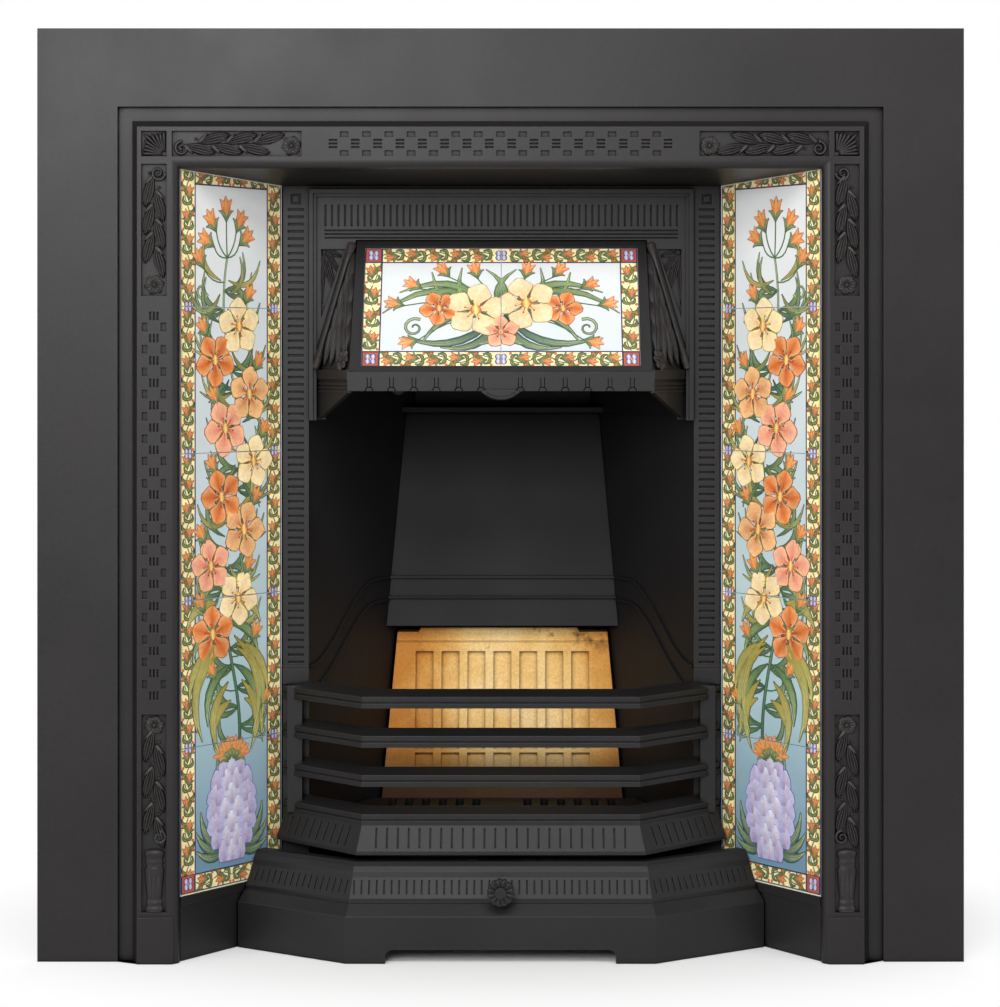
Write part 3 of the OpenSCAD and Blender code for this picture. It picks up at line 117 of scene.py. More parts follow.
soft_box("box_above", (0.05, -1.95, 2.1), (0, 0, 0.75), (2.4, 0.8), 38)
soft_box("box_front", (-0.6, -2.9, 1.3), (0, 0.1, 0.45), (1.2, 0.9), 52)
soft_box("box_left", (-2.2, -1.6, 1.0), (0, 0, 0.5), (0.9, 1.6), 15)
soft_box("box_right", (2.2, -1.6, 1.0), (0, 0, 0.5), (0.9, 1.6), 15)
soft_box("box_behind", (0.4, 2.4, 2.2), (0, 0.1, 0.5), (2.0, 1.4), 48)

# %% [markdown]
# ## Nodes in few lines
# Every finish below is a small node network. Writing each link by hand hides the idea behind
# the bookkeeping, so a helper class makes a node, sets its values and joins its inputs in one
# call, and has a short word for each kind of node that comes back often. An input can be given a
# number or the output of another node.

# %% A helper for node networks


class Net:
    """Makes nodes in one tree: net.add(kind, {input: number or output}, setting=value)."""

    def __init__(self, tree, material=None):
        self.tree, self.material = tree, material

    def add(self, kind, ins=None, **settings):
        node = self.tree.nodes.new(kind)
        for key, value in settings.items():
            setattr(node, key, value)
        for key, value in (ins or {}).items():
            if isinstance(value, bpy.types.NodeSocket):
                self.tree.links.new(value, node.inputs[key])
            else:
                node.inputs[key].default_value = value
        return node

    def math(self, operation, *values):
        return self.add("ShaderNodeMath", dict(enumerate(values)), operation=operation).outputs[0]

    def span(self, value, low, high, to_low=0.0, to_high=1.0):
        """Stretches low..high to to_low..to_high and holds what lies outside."""
        ins = {"Value": value, "From Min": low, "From Max": high, "To Min": to_low, "To Max": to_high}
        return self.add("ShaderNodeMapRange", ins).outputs[0]

    def blend(self, share, first, second):
        return self.add("ShaderNodeMix", {0: share, 6: first, 7: second}, data_type="RGBA").outputs[2]

    def scaled(self, colour, by):
        return self.add("ShaderNodeVectorMath", {0: colour, "Scale": by}, operation="SCALE").outputs[0]

    def dot(self, a, b):
        return self.add("ShaderNodeVectorMath", {0: a, 1: b}, operation="DOT_PRODUCT").outputs["Value"]

    def coords(self, kind="Object"):
        return self.add("ShaderNodeTexCoord").outputs[kind]

    def axes(self, vector):
        return self.add("ShaderNodeSeparateXYZ", {0: vector}).outputs

    def noise(self, scale, detail=4.0, rough=0.55):
        ins = {"Vector": self.coords(), "Scale": scale, "Detail": detail, "Roughness": rough}
        return self.add("ShaderNodeTexNoise", ins).outputs["Fac"]

    def ramp(self, fac, stops):
        node = self.add("ShaderNodeValToRGB", {"Fac": fac})
        elements = node.color_ramp.elements
        while len(elements) < len(stops):
            elements.new(0.5)
        for element, (at, colour) in zip(elements, stops):
            element.position = at
            element.color = colour
        return node.outputs["Color"]

    def soft_edge(self, radius):
        """The normal as if every sharp edge were rounded by a radius in millimetres."""
        return self.add("ShaderNodeBevel", {"Radius": mm(radius)}, samples=4).outputs[0]

    def bump(self, strength, depth, height, normal=None):
        ins = {"Strength": strength, "Distance": mm(depth), "Height": height}
        if normal is not None:
            ins["Normal"] = normal
        return self.add("ShaderNodeBump", ins).outputs[0]

    def painted_hollow_shade(self, reach, *span):
        """Painted shade: how open the place is within a reach in millimetres, stretched by four span values.
        """
        air = self.add("ShaderNodeAmbientOcclusion", {"Distance": mm(reach)}, samples=4)
        return self.span(air.outputs["AO"], *span)

    def show(self, shader):
        """Ends a material in the given shader node and returns the material."""
        self.add("ShaderNodeOutputMaterial", {"Surface": shader.outputs[0]})
        return self.material

    def shade(self, ins):
        return self.show(self.add("ShaderNodeBsdfPrincipled", ins))


def srgb(r, g, b):
    """A colour picked as 0 to 255 on screen, as the linear values that nodes want."""
    return tuple((v / 255 / 12.92 if v < 11 else ((v / 255 + 0.055) / 1.055) ** 2.4)
                 for v in (r, g, b)) + (1.0,)


def new_material(name):
    material = bpy.data.materials.new(name)
    material.use_nodes = True
    material.node_tree.nodes.clear()
    return Net(material.node_tree, material)


print("node helpers ready")

# %% [markdown]
# ## Floor and backdrop
# The fireplace was photographed on white. A white card floor takes its soft shadow and fades
# to plain white a little way out, so no horizon shows behind the object.

# %% Floor
REACH, SINK = 6.0, 0.0006
FADE_FROM, FADE_TO = 0.22, 0.55
floor_mesh = bpy.data.meshes.new("floor")
floor_mesh.from_pydata([(-REACH, -REACH, 0), (REACH, -REACH, 0), (REACH, REACH, 0), (-REACH, REACH, 0)],
                       [], [(0, 1, 2, 3)])
floor = new_object("floor", floor_mesh)
floor.location.z = -SINK
net = new_material("white_card")
spread = net.add("ShaderNodeMapping", {"Vector": net.coords(), "Scale": (0.8, 1.25, 1)})
far = net.add("ShaderNodeVectorMath", {0: spread.outputs[0]}, operation="LENGTH")
fade = net.add("ShaderNodeMapRange", {"Value": far.outputs["Value"], "From Min": FADE_FROM,
                                      "From Max": FADE_TO}, interpolation_type="SMOOTHSTEP")
card = net.add("ShaderNodeBsdfDiffuse", {"Color": (0.93, 0.93, 0.93, 1)})
white = net.add("ShaderNodeEmission", {"Color": (1, 1, 1, 1), "Strength": 1.0})
ray = net.add("ShaderNodeLightPath").outputs
seen = net.math("MAXIMUM", ray["Is Camera Ray"], ray["Is Glossy Ray"])
seen_far = net.math("MULTIPLY", seen, fade.outputs[0])
card_and_white = {0: seen_far, 1: card.outputs[0], 2: white.outputs[0]}
floor_mesh.materials.append(net.show(net.add("ShaderNodeMixShader", card_and_white)))

world = bpy.data.worlds.new("studio")
bpy.context.scene.world = world
world.use_nodes = True
world.node_tree.nodes.clear()
net = Net(world.node_tree)
ray = net.add("ShaderNodeLightPath").outputs
level = net.span(net.math("MAXIMUM", ray["Is Camera Ray"], ray["Is Transmission Ray"]), 0, 1, 0.18, 1.0)
sky = net.add("ShaderNodeBackground", {"Color": (1, 1, 1, 1), "Strength": level})
net.add("ShaderNodeOutputWorld", {"Surface": sky.outputs[0]})
bpy.context.scene.view_settings.view_transform = "Standard"
print("floor reaches", REACH, "m")

# %% [markdown]
# ## Cast iron
# Grey iron comes out of sand, so it has a fine grain, soft edges and a slightly uneven tone.
# The insert is finished in black graphite polish, which leaves a low, broad sheen and rubs a
# little lighter along edges; that lighter edge colour is also a painted highlight. The Bevel
# shader rounds the sharp edges of the solids in the shading alone, and comparing it with the
# true normal finds the edges for the rubbed and highlighted tone. Ambient occlusion darkens the
# colour and lowers the sheen in the hollows of the carving as painted shade.
# Nobody polishes what the wall hides, so the faces behind the plate keep their casting skin.

# %% Iron finishes
BEHIND_PLATE, SMOKE_TOP = (-0.155, -0.140), (0.790, 0.800)
CASTING_SKIN = [(0.34, srgb(66, 62, 60)), (0.54, srgb(84, 79, 75)), (0.68, srgb(98, 76, 60))]
RAW_ROUGH = 0.78


def raw_side(net):
    """1 on faces that look back, outwards or up behind the plate, where no polish was ever put."""
    facing, here = net.axes(net.coords("Normal")), net.axes(net.coords())
    aside = net.math("MULTIPLY", facing["X"], net.math("SIGN", here["X"]))
    outer = net.math("MULTIPLY_ADD", net.math("MINIMUM", facing["Y"], 0.0), 2.0, aside)
    top = net.math("MULTIPLY", facing["Z"], net.span(here["Z"], *SMOKE_TOP))
    hidden = net.math("MULTIPLY", net.math("MAXIMUM", outer, top), net.span(here["Y"], *BEHIND_PLATE))
    back = net.math("MULTIPLY", facing["Y"], 2.5)
    return net.span(net.math("MAXIMUM", hidden, back), 0.62, 0.82)


def iron(name, tone, rub_and_highlight, grain=1.0, rough=0.42, shine=0.25):
    """Graphite-polished iron: tone, rubbed edges with a painted highlight, grain, painted shade in hollows.
    """
    net = new_material(name)
    patches, specks = net.noise(5.0, 5.0, 0.6), net.noise(260.0, 3.0, 0.6)
    dark, pale = (tuple(c * share for c in tone[:3]) + (1,) for share in (0.86, 1.13))
    raw = raw_side(net)
    base = net.blend(raw, net.ramp(patches, [(0.32, dark), (0.68, pale)]), net.ramp(patches, CASTING_SKIN))
    mottled = net.scaled(base, net.span(specks, 0.3, 0.7, 0.9, 1.1))
    soft = net.soft_edge(1.1)
    true = net.add("ShaderNodeNewGeometry").outputs["True Normal"]
    # The edge colour is rubbed wear on the polish and also a painted highlight along every edge.
    edge = net.span(net.dot(soft, true), 0.995, 0.86, 0.0, 0.55)
    colour = net.blend(net.math("MULTIPLY", edge, specks), mottled, rub_and_highlight)
    sand = net.bump(0.3 * grain, 0.25, specks, soft)
    gloss = net.span(patches, 0.3, 0.7, rough - 0.05, rough + 0.07)
    # Painted shade: ambient occlusion darkens the colour and the sheen of the iron in hollows and recesses.
    painted_shade_factor = net.painted_hollow_shade(7, 0.3, 0.8, 0.08, 1.0)
    return net.shade({"Base Color": net.scaled(colour, painted_shade_factor),
                      "Roughness": net.add("ShaderNodeMix", {0: raw, 2: gloss, 3: RAW_ROUGH}).outputs[0],
                      "Specular IOR Level": net.math("MULTIPLY", painted_shade_factor, shine),
                      "Normal": net.bump(0.2 * grain, 0.6, net.noise(38.0, 2.0), sand)})


IRON = iron("iron_polished", srgb(29, 27, 27), srgb(98, 91, 90))
IRON_INNER = iron("iron_inner", srgb(27, 26, 26), srgb(96, 90, 88), rough=0.44)
IRON_FIRE = iron("iron_fire", srgb(22, 21, 22), srgb(46, 43, 43), grain=1.3, rough=0.6, shine=0.22)
print("iron finishes:", IRON.name, IRON_INNER.name, IRON_FIRE.name)

# %% [markdown]
# ## Firebrick, steel and bare tile
# The firebrick is pressed fireclay: warm ochre with iron specks, sooted at the foot and under the
# top edge, painted paler in the middle as a pool of light, and darker towards the sides and in
# its grooves as painted shade. Screws and bolts are bright steel gone dull. Each tile body is
# fired clay under a pale tin-white glaze that pools a little at the edges and is never perfectly
# flat.

# %% Other finishes
BRICK_FOOT, BRICK_TOP = (corner[2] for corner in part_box("back_brick"))
GLAZED_WAYS = ((0.786, -0.619, 0.0), (-0.786, -0.619, 0.0), (0.0, -0.866, 0.5))


def fireclay():
    """Yellow-ochre firebrick with grog specks, a sooted foot and smoke licks under the top edge."""
    net = new_material("firebrick")
    clouds, grog, licks = net.noise(9.0, 5.0, 0.62), net.noise(420.0, 2.0, 0.5), net.noise(21.0, 5.0, 0.7)
    here = net.axes(net.coords())
    # Painted light: the brick is paler in the middle, as under a pool of light, and darker towards the sides
    # as painted shade; the clouds are its own uneven tone.
    aside = net.math("ABSOLUTE", net.math("SUBTRACT", here["X"], mm(18)))
    tone_and_painted_light = net.math("ADD", clouds, net.span(aside, mm(30), mm(125), 0.22, -0.26))
    base = net.ramp(tone_and_painted_light, [(0.22, srgb(186, 122, 52)), (0.42, srgb(208, 152, 78)),
                            (0.62, srgb(236, 194, 124)), (0.84, srgb(246, 220, 168))])
    foot = net.span(here["Z"], BRICK_FOOT + mm(64), BRICK_FOOT + mm(20), 0.0, 0.97)
    crown = net.span(here["Z"], BRICK_TOP - mm(34), BRICK_TOP - mm(12), 0.0, 0.9)
    licked = net.math("MULTIPLY", crown, net.span(licks, 0.56, 0.66))
    # Painted shade: ambient occlusion darkens the grooves and corners of the brick, on top of the real soot.
    painted_groove_shade = net.painted_hollow_shade(6, 0.9, 0.5, 0.0, 0.6)
    soot_and_shade = net.math("MAXIMUM", net.math("MAXIMUM", foot, licked), painted_groove_shade)
    sooted_and_shaded = net.blend(soot_and_shade, base, srgb(58, 38, 22))
    return net.shade({"Base Color": net.scaled(sooted_and_shaded, net.span(grog, 0.3, 0.75, 0.84, 1.08)),
                      "Roughness": 0.88, "Specular IOR Level": 0.25,
                      "Normal": net.bump(0.6, 0.5, grog, net.soft_edge(1.4))})


def dull_steel():
    """Zinc-grey screw steel with fine wear."""
    net = new_material("dull_steel")
    fine = net.noise(180.0, 3.0)
    return net.shade({"Base Color": net.ramp(fine, [(0.3, srgb(96, 94, 92)), (0.7, srgb(150, 148, 144))]),
                      "Metallic": 1.0, "Roughness": net.span(fine, 0, 1, 0.3, 0.5),
                      "Normal": net.bump(0.2, 0.1, fine, net.soft_edge(0.5))})


def tin_glaze():
    """Pale blue-white glaze on the faces, bluer low down on the cheeks; the sides are bare clay."""
    net = new_material("tin_glaze")
    pool = net.noise(14.0, 3.0, 0.5)
    low = net.span(net.axes(net.coords())["Z"], 0.75, 0.1)
    ground = net.ramp(low, [(0.0, srgb(206, 208, 208)), (0.74, srgb(160, 185, 190)),
                            (1.0, srgb(104, 134, 154))])
    glazed = net.scaled(ground, net.span(pool, 0.3, 0.7, 0.95, 1.04))
    facing = net.coords("Normal")
    left, right, hood = (net.dot(facing, way) for way in GLAZED_WAYS)
    front = net.span(net.math("MAXIMUM", net.math("MAXIMUM", left, right), hood), 0.86, 0.96)
    clay = net.ramp(pool, [(0.3, srgb(96, 80, 66)), (0.7, srgb(134, 112, 90))])
    return net.shade({"Base Color": net.blend(front, clay, glazed),
                      "Roughness": net.span(front, 0, 1, 0.85, 0.3),
                      "Coat Weight": net.span(front, 0, 1, 0.0, 0.12), "Coat Roughness": 0.08,
                      "Normal": net.bump(0.25, 0.5, pool, net.soft_edge(0.9))})


BRICK, STEEL, GLAZE = fireclay(), dull_steel(), tin_glaze()
print("other finishes:", BRICK.name, STEEL.name, GLAZE.name)

# %% [markdown]
# ## Dressing the solids
# Polish goes where the eye goes. What stands in the flames stays sooted, bolts stay bare, and the
# castings between the two are rubbed down more thinly than the plate and the frame.

# %% Dress the solids in their finishes
# The first row with a word that stands in the name of a node gives the finish.
WORDS = ((GLAZE, ("_tile_left", "_tile_right")), (BRICK, ("back_brick",)),
         (IRON_FIRE, ("chamber_side", "chamber_back", "smoke_box", "grate", "back_bolts", "ash_pan",
                      "damper_flap")),
         (STEEL, ("bolts", "screws", "knob_nut")),
         (IRON_INNER, ("inner_frame", "hood", "bars", "cover", "damper", "cheek", "keeper", "lugs")),
         (IRON, ("",)))
for name, piece in nodes.items():
    finish = next(row[0] for row in WORDS if any(word in name for word in row[1]))
    for entry in piece.material_slots:
        entry.material = finish
print("dressed", len(nodes), "solids")

# %% [markdown]
# ## Carved ornament
# The pattern maker carved leaves, fans and scrolls into the sunk panels of the frame before it
# was moulded in sand. A few small forms repeat: two ribbed leaves, a petal, a ray, a berry. Each
# is modelled once and a Geometry Nodes tree sets copies of it on points that carry a turn and a
# size, which keeps the rhythm of the garlands easy to change.

# %% Small carved forms


def mesh_object(name, verts, faces):
    mesh = bpy.data.meshes.new(name)
    mesh.from_pydata(verts, [], faces)
    mesh.validate()
    return new_object(name, mesh)


def skin(count, ring, start=0):
    """Faces of a closed tube: count rings of ring points each, numbered from start, and two caps."""
    faces = []
    for a in range(start, start + (count - 1) * ring, ring):
        b = a + ring
        faces += [(a + k, a + (k + 1) % ring, b + (k + 1) % ring, b + k) for k in range(ring)]
    last = start + (count - 1) * ring
    return faces + [tuple(range(start, start + ring)), tuple(range(last, last + ring))]


def loft(name, rings, finish=None):
    """A closed, smooth piece over equal rings of points, with its faces turned outwards."""
    verts = [point for ring in rings for point in ring]
    piece = mesh_object(name, verts, skin(len(rings), len(rings[0])))
    shape = bmesh.new()
    shape.from_mesh(piece.data)
    bmesh.ops.remove_doubles(shape, verts=shape.verts, dist=1e-7)
    bmesh.ops.recalc_face_normals(shape, faces=shape.faces)
    for face in shape.faces:
        face.smooth = True
    shape.to_mesh(piece.data)
    shape.free()
    if finish:
        piece.data.materials.append(finish)
    return piece


def relief(rows, root=-0.5):
    """Rings of a form that lies on a flat back: two root corners close each row of points."""
    return [row + [(row[-1][0], row[-1][1], root), (row[0][0], row[0][1], root)] for row in rows]


def domed_strip(rows):
    """A ridge with rounded flanks from rows of (along, half width, height)."""
    flank = ((-1.0, 0.0), (-0.62, 0.78), (-0.12, 1.0), (0.12, 1.0), (0.62, 0.78), (1.0, 0.0))
    return relief([[(along, half * f, height * r) for f, r in flank] for along, half, height in rows])


def fingered_leaf(fingers, steps=12, across=24):
    """A broad leaf one unit long: ribs spread from its narrow base and end in rounded lobes."""
    rows = []
    for i in range(steps):
        t = i / (steps - 1)
        half = 0.5 * (0.2 + 0.8 * math.sin(math.pi / 2 * min(1, t / 0.7)))
        half *= 1 - 0.35 * max(0, t - 0.7) / 0.3
        crest = math.sin(math.pi * (0.14 + 0.76 * t))
        row = []
        for k in range(across + 1):
            u = 2 * k / across - 1
            rib = abs(math.sin(math.pi * fingers * (u + 1) / 2))
            along = t * (1 - 0.2 * u * u) + (0.1 * rib - 0.04) * t ** 3
            row.append((along, half * u, crest * math.sqrt(1.02 - 0.85 * u * u) * (0.25 + 0.75 * rib)))
        rows.append(row)
    return relief(rows)


def lance_leaf(steps=17, plump=0.62):
    """A lance leaf one unit long with side ribs: its height ripples from base to tip."""
    rows = []
    for i in range(steps):
        t = i / (steps - 1)
        half = 0.5 * math.sin(math.pi * min(1, t * 0.93 + 0.07) ** plump) ** 0.8 + 0.02
        ripple = 1.0 if i % 2 else 0.74
        rows.append((t, half, (0.25 + 0.75 * math.sin(math.pi * (0.12 + 0.8 * t))) * ripple))
    return domed_strip(rows)


# A ray of a fan is narrow at its foot and rounded at its outer end; a berry is round both ways.
RAY_ROWS = [(0, 0.18, 0.5), (0.3, 0.27, 0.75), (0.6, 0.38, 0.95), (0.85, 0.47, 1.0), (0.96, 0.36, 0.8),
            (1.0, 0.14, 0.3)]
BERRY_ROWS = [(-1, 0.05, 0.05)]
BERRY_ROWS += [(math.sin(a), math.cos(a), math.cos(a)) for a in (-1.25, -0.85, -0.4, 0, 0.4, 0.85, 1.25)]
BERRY_ROWS += [(1, 0.05, 0.05)]
SHAPES = {"leaf": lance_leaf(), "palm": fingered_leaf(4), "petal": fingered_leaf(3, 8, 12),
          "ray": domed_strip(RAY_ROWS), "berry": domed_strip(BERRY_ROWS)}
FORMS = {name: loft("form_" + name, rings) for name, rings in SHAPES.items()}
print("forms:", {k: len(v.data.polygons) for k, v in FORMS.items()})

# %% [markdown]
# The tree below is the casting shop: points in, copies of a form out. Each point brings two
# attributes, turn and size, and the tree multiplies the size by its own inputs, so a whole
# garland can be made deeper or flatter with one number.

# %% The tree that sets forms on points


def forms_tree():
    tree = bpy.data.node_groups.new("forms_on_points", "GeometryNodeTree")
    for name, kind in (("Points", "Geometry"), ("Form", "Object"), ("Finish", "Material"),
                       ("Length", "Float"), ("Width", "Float"), ("Height", "Float")):
        socket = tree.interface.new_socket(name, in_out="INPUT", socket_type="NodeSocket" + kind)
        if kind == "Float":
            socket.default_value = 1.0
    tree.interface.new_socket("Cast", in_out="OUTPUT", socket_type="NodeSocketGeometry")
    net = Net(tree)
    given = net.add("NodeGroupInput").outputs
    form = net.add("GeometryNodeObjectInfo", {"Object": given["Form"]})
    kind = "GeometryNodeInputNamedAttribute"
    turn, size = (net.add(kind, {"Name": name}, data_type="FLOAT_VECTOR").outputs[0]
                  for name in ("turn", "size"))
    whole = net.add("ShaderNodeCombineXYZ", {0: given["Length"], 1: given["Width"], 2: given["Height"]})
    scale = net.add("ShaderNodeVectorMath", {0: size, 1: whole.outputs[0]}, operation="MULTIPLY")
    spin = net.add("FunctionNodeEulerToRotation", {0: turn})
    copies = net.add("GeometryNodeInstanceOnPoints", {
        "Points": given["Points"], "Instance": form.outputs["Geometry"], "Rotation": spin.outputs[0],
        "Scale": scale.outputs[0]})
    solid = net.add("GeometryNodeRealizeInstances", {0: copies.outputs[0]})
    dressed = net.add("GeometryNodeSetMaterial", {"Geometry": solid.outputs[0], "Material": given["Finish"]})
    net.add("NodeGroupOutput", {0: dressed.outputs[0]})
    return tree


FORMS_TREE = forms_tree()
INPUTS = {s.name: s.identifier for s in FORMS_TREE.interface.items_tree if s.in_out == "INPUT"}


print("tree inputs:", list(INPUTS))

# %% [markdown]
# Three helpers stand round the tree: a spot lays one form on an upright wall, a ridge draws a
# rounded line, and a join makes one casting of all that belongs together.

# %% Spots, ridges and scrolls


def set_forms(name, form, spots, finish=IRON):
    """Copies of a form at spots (place, turn, sizes in mm), turned into one plain mesh."""
    piece = mesh_object(name, [s[0] for s in spots], [])
    for label, values in (("turn", [s[1] for s in spots]), ("size", [map(mm, s[2]) for s in spots])):
        attribute = piece.data.attributes.new(label, "FLOAT_VECTOR", "POINT")
        attribute.data.foreach_set("vector", [v for row in values for v in row])
    modifier = piece.modifiers.new("forms", "NODES")
    modifier.node_group = FORMS_TREE
    modifier[INPUTS["Form"]] = FORMS[form]
    modifier[INPUTS["Finish"]] = finish
    cast = piece.evaluated_get(bpy.context.evaluated_depsgraph_get())
    mesh = bpy.data.meshes.new_from_object(cast)
    piece.modifiers.clear()
    piece.data = mesh
    return piece


PANEL_FLOOR = -7.0


def spot(x, z, angle, length, width, height, lift=0.0, floor_y=PANEL_FLOOR):
    """One form on the wall Y = floor_y, its base at (x, z), pointing along the angle in degrees."""
    upright = Matrix.Rotation(math.radians(90), 3, "X").to_4x4()
    turn = upright @ Matrix.Rotation(math.radians(angle), 4, "Z") @ Matrix.Rotation(-lift, 4, "Y")
    return place(x, floor_y, z), tuple(turn.to_euler("XYZ")), (length, width, height)


def finished(name, shape, finish):
    """Puts a shape into the scene as one piece of one finish."""
    mesh = bpy.data.meshes.new(name)
    shape.to_mesh(mesh)
    open_edges = sum(len(e.link_faces) != 2 for e in shape.edges)
    shape.free()
    mesh.materials.append(finish)
    print(name, "triangles:", sum(len(p.vertices) - 2 for p in mesh.polygons), "open edges:", open_edges)
    return new_object(name, mesh)


def join(name, pieces, finish=IRON, body="insert"):
    """Joins plain meshes into one piece of one finish that moves with a body."""
    shape = bmesh.new()
    for piece in pieces:
        shape.from_mesh(piece.data)
        bpy.data.objects.remove(piece)
    for face in shape.faces:
        face.material_index = 0
    whole = finished(name, shape, finish)
    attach(whole, body)


def heading(path, i):
    """Direction of a path of flat points at its point number i."""
    before, after = path[max(0, i - 1)], path[min(len(path) - 1, i + 1)]
    return Vector((after[0] - before[0], after[1] - before[1])).normalized()


def ridge(name, path, widths, heights, floor_y, finish=IRON):
    """A rounded ridge along (x, z) points on the wall Y = floor_y, such as a scroll or a stem."""
    section = ((-1.0, -0.4), (-1.0, 0.0), (-0.6, 0.75), (0.0, 1.0), (0.6, 0.75), (1.0, 0.0), (1.0, -0.4))
    rings = []
    for i, (x, z) in enumerate(path):
        run, wide, high = heading(path, i), widths[i], heights[i]
        rings.append([place(x - run.y * a * wide, floor_y - h * high, z + run.x * a * wide)
                      for a, h in section])
    return loft(name, rings, finish)


def spiral(x, z, radius, start, turns, way=1, steps=40, core=0.16):
    """Points of a scroll that winds inwards from the start angle in degrees."""
    points = []
    for i in range(steps):
        t = i / (steps - 1)
        r = radius * (1 - t * (1 - core))
        a = math.radians(start) + way * t * turns * 2 * math.pi
        points.append((x + r * math.cos(a), z + r * math.sin(a)))
    return points


print("carving floor at", PANEL_FLOOR, "mm behind the plate front")

# %% [markdown]
# ### Corner fans
# Each upper corner block carries a shell-like fan. Its rays spread from a small boss in the
# inner lower corner as far as the two outer sides of the block, whose rim frames them.

# %% Corner fans
STILE_X, HEAD_Z, BLOCK_HALF, HUB_R = 356.9, 844.9, 10.8, 3.6


def mirrored(angle, side):
    """The angle itself to the right of the middle, its mirror image to the left."""
    return angle if side > 0 else 180 - angle


def corner_fan(side):
    rays, hub = [], (side * (STILE_X - BLOCK_HALF), HEAD_Z - BLOCK_HALF)
    for k in range(9):
        angle = 2 + k * 86 / 8
        turn = math.radians(angle)
        reach = 23.0 / max(math.cos(turn), math.sin(turn)) * (1 - 0.10 * math.sin(2 * turn))
        base = (hub[0] + side * HUB_R * math.cos(turn), hub[1] + HUB_R * math.sin(turn))
        rays.append(spot(*base, mirrored(angle, side), reach - HUB_R, 4.5, 3.0, 0.02))
    boss = [spot(*hub, 0, HUB_R, HUB_R, 3.2)]
    return [set_forms("fan_rays", "ray", rays), set_forms("fan_boss", "berry", boss)]


join("corner_fans", corner_fan(-1) + corner_fan(1))

# %% [markdown]
# ### Garlands
# Along the head and down both stiles run garlands of broad ribbed leaves. They lie in two rows
# that leave the middle line by turns, each leaf over the foot of the next, with thin lance
# leaves and berries in the gaps. A scroll closes one end and a rosette the other, so one routine
# draws a garland along any straight line and each panel only says where it starts and ends.

# %% One garland along a line
ROW_PITCH, LEAF_LONG, LEAF_WIDE = 30.0, 32.0, 11.6
ROSETTE_R, ROSETTE_FOOT = 10.2, 1.6
COIL_TURNS, COIL_HIGH = 1.5, 3.4


def garland(start, end):
    """Broad leaves, lance leaves and berries between two (x, z) points, pointing to the end."""
    run = Vector(end) - Vector(start)
    angle = math.degrees(math.atan2(run.y, run.x))
    along = run.normalized()
    across = Vector((-along.y, along.x))
    palms, leaves, berries = [], [], []
    count = max(1, round((run.length - LEAF_LONG - ROW_PITCH / 2) / ROW_PITCH) + 1)
    pitch = (run.length - LEAF_LONG - ROW_PITCH / 2) / max(1, count - 1)
    for k in reversed(range(count)):
        for hand in (-1, 1):
            step = k * pitch + (ROW_PITCH / 2 if hand > 0 else 0)
            foot = Vector(start) + along * step + across * hand * 1.4
            palms.append(spot(*foot, angle + hand * 14, LEAF_LONG, LEAF_WIDE, 3.2, 0.02))
            leaves.append(spot(*foot, angle + hand * 44, 13.0, 4.4, 2.6, 0.04, PANEL_FLOOR - 0.5))
            seed = foot - along * 3.0 + across * hand * 3.6
            berries.append(spot(*seed, 0, 1.7, 1.7, 2.2))
    return palms, leaves, berries


def ring(x, z, count, first, foot, *form):
    """Forms all round a centre, from a small foot circle outwards."""
    spots = []
    for k in range(count):
        angle = 360 / count * k + first
        turn = math.radians(angle)
        spots.append(spot(x + foot * math.cos(turn), z + foot * math.sin(turn), angle, *form))
    return spots


def rosette(x, z):
    petals = ring(x, z, 6, 12, ROSETTE_FOOT, ROSETTE_R - ROSETTE_FOOT, ROSETTE_R * 0.92, 2.8)
    return petals, [spot(x, z, 0, ROSETTE_R * 0.26, ROSETTE_R * 0.26, 2.8, 0.0, PANEL_FLOOR - 0.6)]


def coil(x, z, radius, start, way, thick=2.0):
    """A cast scroll that winds inwards and grows thinner and flatter."""
    path = spiral(x, z, radius, start, COIL_TURNS, way)
    shape = [1.0 - 0.5 * i / (len(path) - 1) for i in range(len(path))]
    heights = [COIL_HIGH * (0.6 + 0.4 * s) for s in shape]
    return ridge("coil", path, [thick * s for s in shape], heights, PANEL_FLOOR)


def carve(name, line, flower, curl, lances=(), extras=()):
    """One panel: a garland along a line, a rosette, a scroll and whatever else stands on it."""
    palms, leaves, berries = garland(*line)
    petals, seed = rosette(*flower)
    sets = {"palm": palms, "leaf": leaves + list(lances), "petal": petals, "berry": berries + seed}
    pieces = [set_forms(name + "_" + form, form, spots) for form, spots in sets.items()]
    join(name, pieces + [coil(*curl), *extras])


for side, label in ((-1, "left"), (1, "right")):
    outer, inner = side * 329.0, side * 215.5
    carve("head_garland_" + label, ((outer - side * 3, HEAD_Z), (inner + side * 7, HEAD_Z)), (inner, 843.0),
          (outer - side * 0.8, 840.0, 7.6, 90, -side))

# %% [markdown]
# ### Stile garlands
# The upper panels open with a scroll over hanging leaves and close with a rosette. The lower
# ones start with a rosette and stand on a small turned column, carved like half a baluster, so
# that one is a section spun through half a turn against the wall.

# %% Upper and lower stile garlands


def half_turned(name, x, profile, steps=10):
    """Half of a turned column on the panel floor, from (z, radius) pairs listed upwards."""
    rings, flat = [], 0.42
    turns = [math.pi * k / steps for k in range(steps + 1)]
    for z, radius in profile:
        ring = [place(x + radius * math.cos(a), PANEL_FLOOR - radius * math.sin(a) * flat, z) for a in turns]
        rings.append(ring + [place(x + end * radius, PANEL_FLOOR + 0.4, z) for end in (-1, 1)])
    return loft(name, rings, IRON)


